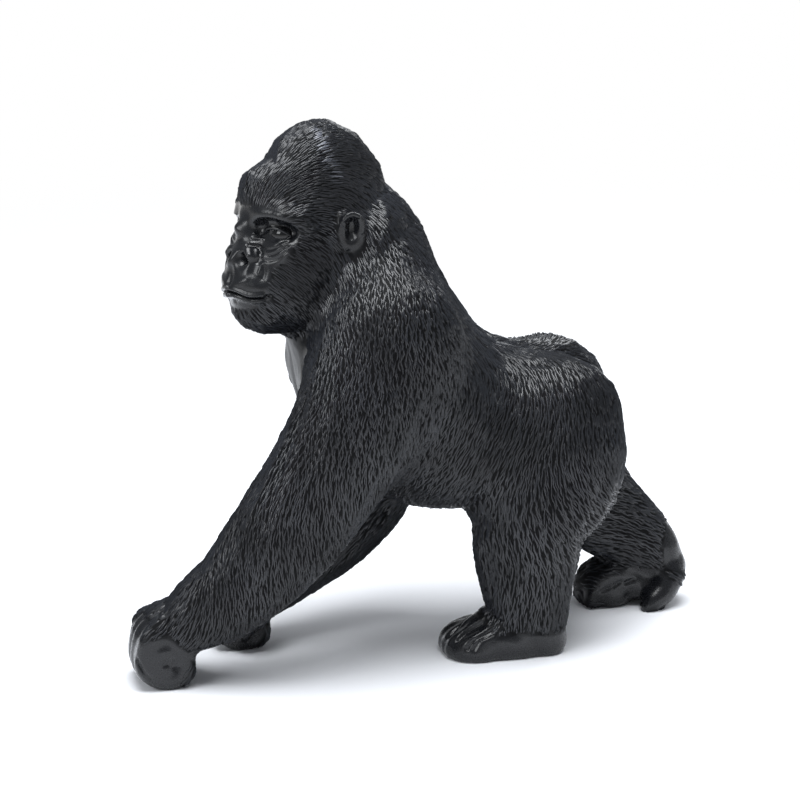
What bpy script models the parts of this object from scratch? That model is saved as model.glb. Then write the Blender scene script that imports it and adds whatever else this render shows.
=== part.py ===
"""Cast figurine of a silverback gorilla walking on its knuckles.

One solid casting, looked at from its left side: the head is at -X, the left
flank at -Y, the ground at Z = 0.  All lengths below are in millimetres, and
to_metres turns them into metres.
"""
import math

import bmesh
import bpy
import numpy as np
from mathutils import Matrix, Vector

MM = 0.001

# Main sizes, over everything
LENGTH = 229.9
WIDTH = 105.6
HEIGHT = 203.4

# The places below are drawn on a figurine of these sizes.  Every piece of clay and
# every stroke of carving is stretched from them, along each axis, to the main sizes.
DRAWN_LENGTH = 229.9
DRAWN_WIDTH = 105.6
DRAWN_HEIGHT = 203.4
STRETCH = np.array([LENGTH / DRAWN_LENGTH, WIDTH / DRAWN_WIDTH, HEIGHT / DRAWN_HEIGHT])

# The mesh
NODE = "gorilla"
TRIANGLES = 11700
FACE_DENSITY = 46000
BLOCK_VOXEL = 1.8
MUSCLE_VOXEL = 1.3
SKIN_VOXEL = 1.0
GROUND_DEPTH = 40.0

# Main locks of the fur on the limbs, and how far from a limb's ends they fade out
LOCK_SPACING = 9.3
LOCK_LENGTH = 24.0
LOCK_DEPTH = 1.5
LOCK_LEAN = 5.0
LOCK_FADE = 14.0

# The head is turned towards the left flank and tipped a little.
HEAD_AT = (-38.5, -2.0, 165.1)
HEAD_YAW = 26.0
HEAD_ROLL = 3.0

# Trunk stations from the rump to the neck:
# back x, back z, belly x, belly z, half width, sideways shift
TRUNK = [
    (79.5, 91.0, 78.5, 84.0, 12.0, 1.0),
    (74.5, 102.5, 75.0, 68.0, 24.0, 1.0),
    (59.5, 112.5, 58.0, 57.5, 30.0, 1.0),
    (41.0, 116.0, 38.0, 53.8, 32.5, 1.0),
    (28.0, 120.5, 21.0, 55.0, 36.0, 1.0),
    (17.0, 135.0, 3.0, 60.0, 40.5, 1.0),
    (6.0, 153.0, -18.0, 68.0, 43.0, 1.0),
    (-4.0, 168.0, -35.0, 81.0, 41.0, 1.0),
    (-11.5, 178.0, -43.0, 98.0, 32.0, 0.0),
    (-19.0, 184.0, -46.0, 117.0, 20.0, 1.0),
    (-27.0, 184.0, -47.5, 134.0, 13.5, 0.0),
]

# Limb stations: x, y, z, half thickness fore and aft, half thickness sideways
NEAR_ARM = [
    (-14.0, -29.0, 136.0, 20.0, 13.0),
    (-19.0, -34.0, 118.0, 25.0, 16.5),
    (-28.0, -36.0, 97.5, 23.5, 17.0),
    (-41.5, -36.0, 75.5, 21.4, 16.0),
    (-56.0, -34.0, 54.5, 20.2, 15.5),
    (-71.0, -31.0, 37.0, 16.6, 14.0),
    (-84.0, -27.5, 26.5, 14.2, 12.8),
    (-92.0, -25.5, 21.0, 10.5, 12.0),
]
FAR_ARM = [
    (-14.0, 31.0, 136.0, 20.0, 13.0),
    (-15.0, 35.0, 116.0, 24.0, 16.5),
    (-14.0, 36.0, 94.0, 22.5, 16.0),
    (-12.0, 34.0, 72.0, 21.0, 15.5),
    (-13.0, 30.0, 54.5, 20.5, 15.0),
    (-26.0, 24.0, 40.0, 17.5, 14.0),
    (-42.0, 19.0, 28.0, 14.0, 12.5),
    (-54.0, 16.0, 20.0, 11.5, 11.5),
]
NEAR_LEG = [
    (48.0, -14.0, 98.0, 22.0, 14.0),
    (50.0, -19.0, 84.0, 28.5, 17.5),
    (48.5, -21.5, 68.0, 27.5, 18.0),
    (42.0, -22.5, 54.0, 22.0, 17.0),
    (40.5, -22.0, 42.0, 20.2, 15.8),
    (41.0, -21.0, 30.0, 18.2, 14.2),
    (42.0, -20.0, 19.0, 16.0, 12.4),
    (43.0, -19.5, 9.0, 13.5, 11.4),
]
FAR_LEG = [
    (48.0, 16.0, 98.0, 22.0, 14.0),
    (54.0, 20.5, 84.0, 27.0, 17.0),
    (60.0, 24.5, 68.0, 25.5, 17.5),
    (70.0, 27.0, 53.0, 21.5, 16.0),
    (82.0, 28.0, 40.5, 18.0, 14.0),
    (94.5, 27.5, 30.5, 14.8, 12.0),
    (104.5, 26.5, 21.5, 12.0, 10.5),
    (108.0, 26.0, 15.0, 9.5, 9.0),
]

# Skull stations in the frame of the head: height, back, front, half width
SKULL = [
    (36.2, -13.0, 5.0, 6.0),
    (33.6, -19.0, 11.8, 10.0),
    (29.5, -23.5, 17.4, 12.8),
    (24.0, -27.5, 22.8, 15.8),
    (16.5, -31.5, 26.9, 18.5),
    (8.0, -34.5, 26.4, 20.8),
    (0.0, -35.5, 20.5, 21.5),
    (-9.0, -32.0, 20.0, 21.0),
    (-19.0, -22.0, 20.0, 20.0),
    (-28.0, -12.0, 20.0, 17.5),
    (-34.5, -3.0, 17.0, 12.0),
]

# Tips of the toes, x and y, from the little toe inwards
NEAR_TOES = [(12.5, -27.6), (9.6, -22.6), (7.9, -17.6), (7.6, -12.6), (12.0, -5.0)]
FAR_TOES = [(74.5, 37.2), (74.2, 32.3), (74.4, 27.4), (75.4, 22.5)]
NEAR_TOE_RADII = [3.0, 3.1, 3.1, 2.8]
FAR_TOE_RADII = [3.6, 3.7, 3.5, 3.0]

# Knuckles of the middle fingers, and the fingers' spacing and radius
NEAR_KNUCKLE = (-102.5, -23.0, 21.3)
FAR_KNUCKLE = (-68.5, 14.0, 20.8)
FINGER_SPACING = 5.9
FINGER_RADIUS = 4.5

# Cords of clay laid on the near side of the head, in its frame: forward, left, up and radius
BROW = [(13.0, -19.0, 2.6, 2.6), (17.5, -18.0, 6.0, 3.2), (22.0, -13.0, 7.4, 3.9), (24.4, -6.5, 7.8, 4.0),
        (23.8, 0.0, 7.2, 4.0), (24.4, 6.5, 7.8, 4.0), (21.6, 13.0, 7.4, 3.6), (17.0, 18.0, 6.0, 3.2),
        (12.5, 19.5, 2.6, 2.8)]
EAR_RIM = [(0.2, 22.6, -6.2, 1.7), (-2.8, 24.6, -3.4, 1.8), (-4.3, 26.3, 1.8, 1.8), (-2.6, 26.7, 5.8, 1.8),
           (0.8, 25.4, 6.4, 1.7), (2.4, 23.9, 3.4, 1.5), (2.2, 23.2, -1.2, 1.5), (1.3, 22.8, -5.0, 1.7)]
UPPER_LID = [(23.6, 5.0, 0.0, 0.8), (24.0, 9.3, 2.9, 1.1), (20.2, 14.6, 1.0, 0.8)]
LOWER_LID = [(23.6, 5.2, -0.6, 0.8), (23.4, 9.6, -1.9, 1.1), (20.0, 14.6, -0.2, 0.8)]

# Creases pressed into the rolls of the neck, on the near side
HIGH_NECK_CREASE = [(-8.0, -1.0, 180.0), (-13.0, -11.0, 177.0), (-18.0, -17.0, 174.0), (-21.0, -24.0, 170.0),
                    (-23.5, -25.0, 163.0), (-27.0, -26.0, 157.0)]
LOW_NECK_CREASE = [(0.0, -6.0, 165.0), (-5.0, -17.0, 164.5), (-9.0, -23.0, 163.0), (-15.0, -27.5, 160.0),
                   (-20.0, -28.5, 157.0), (-26.0, -29.0, 153.0)]

# The furrow between the two hips, and the crease where the left thigh meets the belly
SPINE = [(30.0, 1.0, 119.0), (45.0, 1.0, 117.0), (60.0, 1.0, 112.0), (73.0, 1.0, 101.0), (79.0, 1.0, 86.0),
         (76.0, 2.0, 70.0)]
GROIN = [(18.0, -35.0, 63.0), (19.0, -28.0, 58.0), (18.0, -20.0, 55.0), (17.0, -8.0, 57.0)]

# Creases pressed into the clay: places in the frame of the head
MOUTH = [(28.0, -14.5, -21.6), (33.5, -10.5, -20.4), (37.0, -5.0, -19.6), (38.6, 0.0, -19.6),
         (37.0, 5.0, -19.6), (33.5, 10.5, -20.4), (28.0, 14.5, -21.6)]
JAW_LINE = [(-3.0, 22.5, -9.0), (-1.4, 21.0, -13.0), (0.8, 21.0, -17.5), (3.0, 20.5, -22.0),
            (5.5, 19.5, -27.0), (8.5, 17.5, -32.0), (13.0, 11.0, -38.0)]


def clear_scene():
    for old in list(bpy.data.objects):
        bpy.data.objects.remove(old)


def new_collection(name):
    made = bpy.data.collections.new(name)
    bpy.context.scene.collection.children.link(made)
    return made


def catmull(rows, steps):
    """Rows of numbers joined by a smooth curve, steps rows to each gap."""
    p = np.array(rows, dtype=float)
    ends = np.vstack([2 * p[0] - p[1], p, 2 * p[-1] - p[-2]])
    out = []
    for i in range(1, len(ends) - 2):
        a, b, c, d = ends[i - 1], ends[i], ends[i + 1], ends[i + 2]
        for k in range(steps):
            t = k / steps
            out.append(0.5 * (2 * b + (c - a) * t + (2 * a - 5 * b + 4 * c - d) * t * t
                              + (3 * b - a - 3 * c + d) * t ** 3))
    out.append(p[-1])
    return np.array(out)


def to_metres(places):
    """Places on the drawing, in millimetres, as places on the figurine, in metres."""
    return np.array(places, dtype=float) * STRETCH * MM


def add_mesh(name, verts, faces, into):
    mesh = bpy.data.meshes.new(name)
    mesh.from_pydata([tuple(v) for v in to_metres(verts)], [], faces)
    mesh.validate()
    bm = bmesh.new()
    bm.from_mesh(mesh)
    bmesh.ops.recalc_face_normals(bm, faces=bm.faces)
    bm.to_mesh(mesh)
    bm.free()
    made = bpy.data.objects.new(name, mesh)
    into.objects.link(made)
    return made


def skin_rings(name, rings, into):
    """A closed body through rings of points, its ends closed by rounded tips."""
    rings = np.array(rings)
    count, around, _ = rings.shape
    verts = [v for ring in rings for v in ring]
    faces = []
    for i in range(count - 1):
        for j in range(around):
            k = (j + 1) % around
            faces.append((i * around + j, i * around + k, (i + 1) * around + k, (i + 1) * around + j))
    faces.append(tuple(range(around)))
    faces.append(tuple((count - 1) * around + j for j in range(around)))
    return add_mesh(name, verts, faces, into)


def dome(rings, centres, blunt=1.0):
    """Rings at both ends that shrink on a quarter circle, so the ends are round."""
    rings = [np.array(r) for r in rings]
    centres = [np.array(c) for c in centres]
    out = list(rings)
    for side in (0, -1):
        ring, centre = rings[side], centres[side]
        near = centres[1] if side == 0 else centres[-2]
        way = centre - near
        way = way / np.linalg.norm(way)
        reach = np.linalg.norm(ring - centre, axis=1).min() * blunt
        extra = []
        for k in (0.35, 0.65, 0.85, 0.97):
            shrink = math.sqrt(1 - k * k)
            extra.append(centre + (ring - centre) * shrink + way * reach * k)
        if side == 0:
            out = extra[::-1] + out
        else:
            out = out + extra
    return out


def loft_trunk(name, into, around=48):
    rows = catmull(TRUNK, 5)
    rings, centres = [], []
    angles = np.linspace(0, 2 * math.pi, around, endpoint=False)
    for bx, bz, tx, tz, wide, shift in rows:
        back = np.array([bx, shift, bz])
        belly = np.array([tx, shift, tz])
        centre = (back + belly) / 2
        half = (back - belly) / 2
        c = np.cos(angles)
        s = np.sin(angles)
        c = np.sign(c) * np.abs(c) ** 0.94
        s = np.sign(s) * np.abs(s) ** 0.94
        rings.append(centre + np.outer(c, half) + np.outer(s, [0, wide, 0]))
        centres.append(centre)
    return skin_rings(name, dome(rings, centres), into)


def limb_frame(path, i):
    """The way down a limb at one of its stations, and its fore and side directions."""
    way = path[min(i + 1, len(path) - 1)] - path[max(i - 1, 0)]
    way = way / np.linalg.norm(way)
    side = np.array([0.0, 1.0, 0.0])
    side = side - way * side.dot(way)
    side = side / np.linalg.norm(side)
    return way, np.cross(side, way), side


def loft_limb(name, stations, into, around=32):
    rows = catmull(stations, 5)
    path = rows[:, :3]
    rings = []
    angles = np.linspace(0, 2 * math.pi, around, endpoint=False)
    for i, row in enumerate(rows):
        _, fore, side = limb_frame(path, i)
        rings.append(row[:3] + np.outer(np.cos(angles), fore) * row[3]
                     + np.outer(np.sin(angles), side) * row[4])
    return skin_rings(name, dome(rings, list(path)), into)


def head_axes():
    yaw = math.radians(HEAD_YAW)
    roll = math.radians(HEAD_ROLL)
    fore = Vector((-math.cos(yaw), -math.sin(yaw), 0))
    left = Vector((math.sin(yaw), -math.cos(yaw), 0))
    up = Vector((0, 0, 1))
    left_rolled = left * math.cos(roll) + up * math.sin(roll)
    up_rolled = up * math.cos(roll) - left * math.sin(roll)
    return fore, left_rolled, up_rolled


def on_head(f, l, u):
    """A place given in the frame of the head, as a place in the frame of the body."""
    fore, left, up = head_axes()
    return Vector(HEAD_AT) + fore * f + left * l + up * u


def loft_skull(name, into, around=40):
    rows = catmull(SKULL, 4)
    rings, centres = [], []
    angles = np.linspace(0, 2 * math.pi, around, endpoint=False)
    for u, back, front, wide in rows:
        mid = (back + front) / 2
        half = (front - back) / 2
        ring = [on_head(mid + half * math.cos(t), wide * math.sin(t), u) for t in angles]
        rings.append(ring)
        centres.append(on_head(mid, 0, u))
    return skin_rings(name, dome(rings, centres, 0.4), into)


def ball(name, centre, radii, into, turn=None):
    bm = bmesh.new()
    bmesh.ops.create_uvsphere(bm, u_segments=28, v_segments=18, radius=1.0)
    mesh = bpy.data.meshes.new(name)
    grow = Matrix.Diagonal((radii[0], radii[1], radii[2], 1.0))
    bm.transform(Matrix.Diagonal((*to_metres((1, 1, 1)), 1.0)) @ Matrix.Translation(centre)
                 @ (turn or Matrix()) @ grow)
    bm.to_mesh(mesh)
    bm.free()
    made = bpy.data.objects.new(name, mesh)
    into.objects.link(made)
    return made


def head_ball(name, f, l, u, radii, into, pitch=0.0):
    """An egg in the frame of the head: radii forward, sideways and upward."""
    fore, left, up = head_axes()
    turn = Matrix((fore, left, up)).transposed().to_4x4()
    turn = turn @ Matrix.Rotation(math.radians(pitch), 4, "Y")
    return ball(name, on_head(f, l, u), radii, into, turn)


def cord(name, points, radii, into):
    """A round cord through the points: a curve with a bevel, made into a mesh."""
    curve = bpy.data.curves.new(name, "CURVE")
    curve.dimensions = "3D"
    curve.bevel_depth = 1.0
    curve.bevel_resolution = 5
    curve.use_fill_caps = True
    rows = catmull([tuple(p) + (r,) for p, r in zip(points, radii)], 5)
    spline = curve.splines.new("POLY")
    spline.points.add(len(rows) - 1)
    for point, row in zip(spline.points, rows):
        point.co = (row[0], row[1], row[2], 1)
        point.radius = max(row[3], 0.2)
    made = bpy.data.objects.new(name, curve)
    into.objects.link(made)
    mesh = bpy.data.meshes.new_from_object(made)
    mesh.transform(Matrix.Diagonal((*to_metres((1, 1, 1)), 1.0)))
    bpy.data.objects.remove(made)
    body = bpy.data.objects.new(name, mesh)
    into.objects.link(body)
    for tag, row in (("tip", rows[-1]), ("root", rows[0])):
        ball(name + "_" + tag, row[:3], (row[3],) * 3, into)
    return body


def head_cord(name, rows, side, into):
    """A cord from rows in the frame of the head, on its own side (1) or mirrored (-1)."""
    cord(name, [on_head(f, side * l, u) for f, l, u, _ in rows], [row[3] for row in rows], into)


def make_face(into):
    head_cord("brow", BROW, 1, into)
    head_ball("nose_bridge", 23.6, 0, -2.0, (7.0, 6.4, 7.8), into)
    head_ball("nose", 28.4, 0, -7.6, (6.8, 8.0, 5.2), into)
    head_ball("muzzle", 18.5, 0, -17.5, (18.5, 16.0, 13.0), into)
    head_ball("lips", 25.0, 0, -18.6, (12.6, 14.2, 7.4), into)
    head_ball("chin", 20.5, 0, -27.6, (13.2, 13.6, 9.2), into)
    for tag, s in (("near", 1), ("far", -1)):
        head_ball("nostril_wing_" + tag, 29.8, s * 4.9, -8.2, (4.4, 4.4, 4.2), into)
        head_ball("cheekbone_" + tag, 17.0, s * 11.5, -5.5, (9.8, 8.8, 8.0), into)
        head_ball("cheek_" + tag, 8.0, s * 11.0, -17.0, (18.0, 12.0, 17.5), into)


def make_ears(into):
    for tag, s in (("near", 1), ("far", -1)):
        head_cord("ear_rim_" + tag, EAR_RIM, s, into)
        head_ball("ear_root_" + tag, -0.8, s * 21.8, 0.2, (4.3, 3.4, 6.2), into)


def make_eyes(into):
    for tag, s in (("near", 1), ("far", -1)):
        head_ball("eyeball_" + tag, 19.6, s * 9.4, 0.6, (4.0, 4.4, 3.3), into)
        head_cord("upper_lid_" + tag, UPPER_LID, s, into)
        head_cord("lower_lid_" + tag, LOWER_LID, s, into)


def make_muscles(into):
    ball("nape", (-14.5, 4.0, 155.0), (20.5, 20.0, 22.5), into)
    ball("withers", (-11.0, 1.0, 141.0), (20.0, 30.0, 22.0), into)
    for tag, s in (("near", -1), ("far", 1)):
        ball("shoulder_" + tag, (-14.0, s * 32.0, 124.0), (27.0, 18.0, 28.0), into)
        ball("breast_" + tag, (-31.5, s * 14.0, 112.0), (14.0, 15.5, 18.0), into)
        ball("hip_" + tag, (54.5 + s * 1.5, s * 17.0 + 1.0, 90.5 + s * 0.5), (25.3, 18.0, 23.5), into)
    ball("belly", (12.0, 1.0, 80.0), (36.0, 38.0, 25.0), into)
    ball("shin_far", (80.0, 25.5, 31.0), (11.0, 8.5, 8.0), into)


def make_fist(tag, wrist, knuckle, inner, into):
    """Four fingers curled under a broad hand, the thumb along the inner side."""
    wx, wy, wz = wrist
    kx, ky, kz = knuckle
    ball("palm_" + tag, (wx * 0.45 + kx * 0.55, ky, wz * 0.5 + kz * 0.5 - 1.0), (11.0, 12.0, 9.5), into)
    for i in range(4):
        y = ky + (i - 1.5) * FINGER_SPACING
        r = FINGER_RADIUS * (0.94, 1.04, 1.06, 0.98)[i]
        out = (0.6, 0.0, 0.0, 0.6)[i]
        points = [(wx, wy * 0.4 + y * 0.6, wz), (kx + out, y, kz), (kx - 4.0 + out, y, kz - 8.0),
                  (kx - 3.0, y, kz - 14.0), (kx + 3.5, y, kz - 18.3), (kx + 10.0, y, kz - 16.5),
                  (kx + 11.5, y, kz - 11.0), (kx + 7.0, y, kz - 8.0)]
        cord("finger_%s_%d" % (tag, i + 1), points,
             [r * 1.05, r * 1.1, r * 1.0, r * 1.04, r * 0.98, r * 0.95, r * 0.86, r * 0.8], into)
    ball("fist_core_" + tag, (kx + 3.2, ky, kz - 9.2), (8.4, 15.6, 8.4), into)
    cord("thumb_" + tag, [(wx + 1.0, wy + inner * 9.0, wz - 2.0), (kx + 9.0, ky + inner * 14.0, kz - 6.0),
                          (kx + 3.5, ky + inner * 14.5, kz - 12.0)], [4.6, 4.2, 3.6], into)


def make_near_foot(into):
    ball("heel_near", (47.0, -19.5, 5.0), (10.0, 10.5, 12.0), into)
    ball("instep_near", (33.0, -18.8, 5.5), (20.0, 12.6, 12.5), into)
    ball("ball_near", (21.0, -19.0, 3.0), (13.0, 12.6, 9.5), into)
    for i, (x, y) in enumerate(NEAR_TOES[:4]):
        cord("toe_near_%d" % (i + 1), [(x + 16.0, y * 0.9 - 2.0, 7.5), (x + 9.5, y, 8.6), (x + 4.6, y, 6.4),
                                       (x + 3.0, y, 2.4)], NEAR_TOE_RADII, into)
    cord("big_toe_near", [(34.0, -12.0, 8.0), (25.0, -7.5, 7.4), (17.0, -4.8, 4.4), (15.5, -4.5, 2.0)],
         [5.2, 4.6, 4.2, 3.8], into)


def make_far_foot(into):
    ball("heel_far", (109.5, 26.0, 14.0), (9.3, 8.8, 10.5), into)
    ball("sole_far", (98.0, 28.0, 9.0), (17.0, 9.5, 8.0), into, Matrix.Rotation(math.radians(16), 4, "Y"))
    ball("forefoot_far", (87.5, 29.5, 5.0), (10.5, 11.0, 9.0), into)
    ball("instep_far", (87.5, 28.0, 12.5), (15.0, 9.5, 7.5), into, Matrix.Rotation(math.radians(-20), 4, "Y"))
    cord("big_toe_far", [(110.0, 21.5, 12.0), (107.0, 18.5, 6.5), (102.0, 15.8, 3.2), (100.5, 15.2, 1.0)],
         [7.0, 5.8, 4.6, 3.8], into)
    for i, (x, y) in enumerate(FAR_TOES):
        cord("toe_far_%d" % (i + 1), [(x + 15.5, y, 9.0), (x + 9.0, y, 9.6), (x + 4.1, y, 6.6), (x + 3.1, y, 2.4)],
             FAR_TOE_RADII, into)


def join(collection, name, into):
    objects = [o for o in collection.objects]
    target = bpy.data.meshes.new(name)
    bm = bmesh.new()
    for o in objects:
        bm.from_mesh(o.data)
    bm.to_mesh(target)
    bm.free()
    for o in objects:
        bpy.data.objects.remove(o)
    made = bpy.data.objects.new(name, target)
    into.objects.link(made)
    return made


def bake_modifiers(body):
    deps = bpy.context.evaluated_depsgraph_get()
    mesh = bpy.data.meshes.new_from_object(body.evaluated_get(deps))
    body.modifiers.clear()
    body.data = mesh


def read_points(mesh):
    points = np.empty(len(mesh.vertices) * 3)
    mesh.vertices.foreach_get("co", points)
    return points.reshape(-1, 3) / to_metres((1, 1, 1))


def write_points(mesh, points):
    mesh.vertices.foreach_set("co", to_metres(points).ravel())
    mesh.update()


def normals_of(mesh):
    normals = np.empty(len(mesh.vertices) * 3)
    mesh.vertices.foreach_get("normal", normals)
    return normals.reshape(-1, 3)


def edge_list(mesh):
    pairs = np.empty(len(mesh.edges) * 2, dtype=np.int64)
    mesh.edges.foreach_get("vertices", pairs)
    return pairs.reshape(-1, 2)


def fill_hollows(mesh, rounds, weight=None):
    """Wet clay worked into the joins: hollows fill up and crests stay as they are."""
    pairs = edge_list(mesh)
    count = len(mesh.vertices)
    degree = np.bincount(pairs.ravel(), minlength=count)[:, None]
    for _ in range(rounds):
        points = read_points(mesh)
        total = np.zeros_like(points)
        for axis in range(3):
            total[:, axis] = (np.bincount(pairs[:, 0], points[pairs[:, 1], axis], count)
                              + np.bincount(pairs[:, 1], points[pairs[:, 0], axis], count))
        pull = total / degree - points
        normals = normals_of(mesh)
        along = (pull * normals).sum(1, keepdims=True)
        slide = pull - along * normals
        step = normals * np.maximum(along, 0) * 0.9 + slide * 0.4
        if weight is not None:
            step = step * weight[:, None]
        write_points(mesh, points + step)


def distance_to(points, path):
    """Distance from every point to a chain of straight pieces."""
    best = np.full(len(points), 1e9)
    path = np.array(path, dtype=float)
    for a, b in zip(path[:-1], path[1:]):
        way = b - a
        t = np.clip(((points - a) @ way) / max(way @ way, 1e-9), 0, 1)
        best = np.minimum(best, np.linalg.norm(points - (a + t[:, None] * way), axis=1))
    return best


def press(mesh, path, width, depth, way=None):
    """A groove of bell-shaped section along the path; a negative depth raises a ridge."""
    points = read_points(mesh)
    path = catmull(path, 4) if len(path) > 2 else np.array(path, dtype=float)
    away = distance_to(points, path)
    amount = np.exp(-(away / width) ** 2) * depth
    direction = -normals_of(mesh) if way is None else np.array(way, dtype=float)
    write_points(mesh, points + direction * amount[:, None])


def press_on_head(mesh, path, width, depth, inward=False):
    fore, left, up = head_axes()
    places = [tuple(on_head(*p)) for p in path]
    press(mesh, places, width, depth, tuple(-fore) if inward else None)


def carve_face(mesh):
    for s in (1, -1):
        press_on_head(mesh, [(25.5, s * 5.8, 1.4), (24.5, s * 9.5, 1.6), (20.5, s * 15.0, 1.0)], 3.0, 3.4, True)
        press_on_head(mesh, [(29.0, s * 7.5, -4.5), (31.5, s * 10.0, -9.0), (30.5, s * 12.0, -15.0)], 1.5, 1.0)
        press_on_head(mesh, [(20.0, s * 14.5, -4.5), (25.5, s * 9.5, -5.0), (27.0, s * 6.5, -3.0)], 1.2, 0.7)
        press_on_head(mesh, [(34.0, s * 4.4, -8.4), (34.0, s * 3.6, -9.0)], 1.7, 2.8, True)
    press_on_head(mesh, MOUTH, 1.1, 1.6)
    press_on_head(mesh, [(36.0, -9.0, -22.9), (38.0, 0, -22.4), (36.0, 9.0, -22.9)], 1.2, -0.5)
    press_on_head(mesh, [(33.5, -7.0, -26.2), (35.0, 0, -26.0), (33.5, 7.0, -26.2)], 1.7, 0.8)
    press_on_head(mesh, [(34.0, 0, -11.5), (37.0, 0, -17.0)], 1.0, 0.5)
    press_on_head(mesh, [(28.0, 0, 4.0), (29.0, 0, 0.0)], 2.6, 0.4, True)


def carve_body(mesh):
    press_on_head(mesh, JAW_LINE, 3.6, 4.2)
    for s in (1, -1):
        press(mesh, [(x, s * y, z) for x, y, z in HIGH_NECK_CREASE], 3.0, 2.0)
        press(mesh, [(x, s * y, z) for x, y, z in LOW_NECK_CREASE], 2.8, 1.7)
    press(mesh, GROIN, 5.0, 3.0)
    press(mesh, [(-50.0, 0.0, 132.0), (-47.0, 0.0, 112.0), (-42.0, 0.0, 94.0)], 2.6, 2.0)
    press(mesh, SPINE, 4.5, 2.4)
    press(mesh, SPINE[1:], 4.0, 1.8)


def lock_height(angle, around, along, row):
    """Height from 0 to 1 of one row of locks, each a rounded ridge that narrows at both ends."""
    count = np.maximum(np.round(around / LOCK_SPACING), 1)
    middle = (row + 0.5) * LOCK_LENGTH
    reach = np.clip((along - middle) / LOCK_LENGTH, -0.75, 0.75)
    phase = angle / (2 * math.pi) * count + 0.5 * (row % 2) + LOCK_LEAN / LOCK_SPACING * reach
    return np.abs(np.sin(math.pi * phase)) ** 0.7 * np.cos(math.pi * reach / 1.5) ** 0.5


def carve_locks(mesh, stations):
    """The main locks of fur on a limb: rows of ridges down it, each row half a lock round from the last."""
    points = read_points(mesh)
    rows = catmull(stations, 5)
    path = rows[:, :3]
    place = np.concatenate([[0], np.cumsum(np.linalg.norm(np.diff(path, axis=0), axis=1))])
    nearest = np.array([((points - p) ** 2).sum(1) for p in path]).argmin(0)
    frames = np.array([limb_frame(path, i) for i in range(len(path))])[nearest]
    offset = points - path[nearest]
    slide, fore, side = [(offset * frames[:, k]).sum(1) for k in range(3)]
    angle = np.arctan2(side / rows[nearest, 4], fore / rows[nearest, 3])
    radius = np.hypot(side / rows[nearest, 4], fore / rows[nearest, 3])
    along = place[nearest] + slide
    around = math.pi * (rows[:, 3] + rows[:, 4])
    count = int(place[-1] / LOCK_LENGTH) + 1
    height = np.zeros(len(points))
    for row in range(-1, count + 1):
        middle = min(max((row + 0.5) * LOCK_LENGTH, 0), place[-1])
        height = np.maximum(height, lock_height(angle, np.interp(middle, place, around), along, row))
    fade = np.clip((along - LOCK_FADE) / LOCK_FADE, 0, 1) * np.clip((place[-1] - LOCK_FADE - along) / LOCK_FADE, 0, 1)
    fade = fade * np.clip((1.45 - radius) / 0.2, 0, 1) * np.clip((radius - 0.6) / 0.2, 0, 1)
    write_points(mesh, points + normals_of(mesh) * ((height - 0.7) * LOCK_DEPTH * fade)[:, None])


def carve_fist(mesh, knuckle):
    kx, ky, kz = knuckle
    for i in (-1, 0, 1):
        y = ky + i * FINGER_SPACING
        press(mesh, [(kx + 5.0, y, kz + 6.0), (kx - 2.0, y, kz + 5.0), (kx - 8.5, y, kz - 5.0),
                     (kx - 8.0, y, kz - 14.0), (kx - 2.0, y, kz - 22.0)], 1.2, 1.5)
    for s in (-1, 1):
        press(mesh, [(kx + 3.0, ky + s * 15.5, kz - 9.5), (kx + 5.0, ky + s * 15.5, kz - 10.0)], 2.6, 2.2)


def carve_toes(mesh, tips):
    """A furrow between each toe and the next, over the top and down the front."""
    for (xa, ya), (xb, yb) in zip(tips[:-1], tips[1:]):
        x = max(xa, xb)
        y = (ya + yb) / 2
        press(mesh, [(x + 14.0, y, 14.0), (x + 8.0, y, 12.5), (x + 2.5, y, 9.5), (x - 1.0, y, 4.5), (x, y, -1.0)],
              1.1, 1.7)


def carve_ears(mesh):
    for s in (1, -1):
        press_on_head(mesh, [(-0.9, s * 25.5, 3.6), (-1.0, s * 25.0, -1.8)], 2.0, 3.0)


def flatten_ground(body, into):
    """The undersides of feet and fists are rubbed flat on one plane."""
    bm = bmesh.new()
    bmesh.ops.create_cube(bm, size=MM)
    bm.transform(Matrix.Translation((0, 0, -GROUND_DEPTH / 2 * MM))
                 @ Matrix.Diagonal((LENGTH * 2, WIDTH * 2, GROUND_DEPTH, 1.0)))
    mesh = bpy.data.meshes.new("ground")
    bm.to_mesh(mesh)
    bm.free()
    cutter = bpy.data.objects.new("ground", mesh)
    into.objects.link(cutter)
    cutter.hide_render = True
    cutter.display_type = "WIRE"
    cut = body.modifiers.new("ground", "BOOLEAN")
    cut.operation = "DIFFERENCE"
    cut.solver = "EXACT"
    cut.object = cutter
    return cutter


def remesh_body(body, size, soften):
    remesh = body.modifiers.new("clay", "REMESH")
    remesh.mode = "VOXEL"
    remesh.voxel_size = size * MM
    if soften:
        smooth = body.modifiers.new("smooth", "SMOOTH")
        smooth.factor = 0.5
        smooth.iterations = soften
    bake_modifiers(body)


def centre_on_origin(body):
    """The middle of the footprint goes to X = 0, Y = 0 and the soles to Z = 0."""
    points = read_points(body.data)
    low, high = points.min(0), points.max(0)
    middle = (low + high) / 2
    write_points(body.data, points - np.array([middle[0], middle[1], low[2]]))


def black_resin():
    made = bpy.data.materials.new("black_resin")
    made.use_nodes = True
    shader = made.node_tree.nodes["Principled BSDF"]
    shader.inputs["Base Color"].default_value = (0.012, 0.012, 0.014, 1.0)
    shader.inputs["Roughness"].default_value = 0.38
    return made


def lighten(body, count, protect=None):
    """Fewer, larger triangles; the points of the protected group stay."""
    modifier = body.modifiers.new("lighten", "DECIMATE")
    modifier.ratio = count / sum(len(p.vertices) - 2 for p in body.data.polygons)
    if protect:
        modifier.vertex_group = protect
        modifier.invert_vertex_group = True
    bake_modifiers(body)


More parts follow.
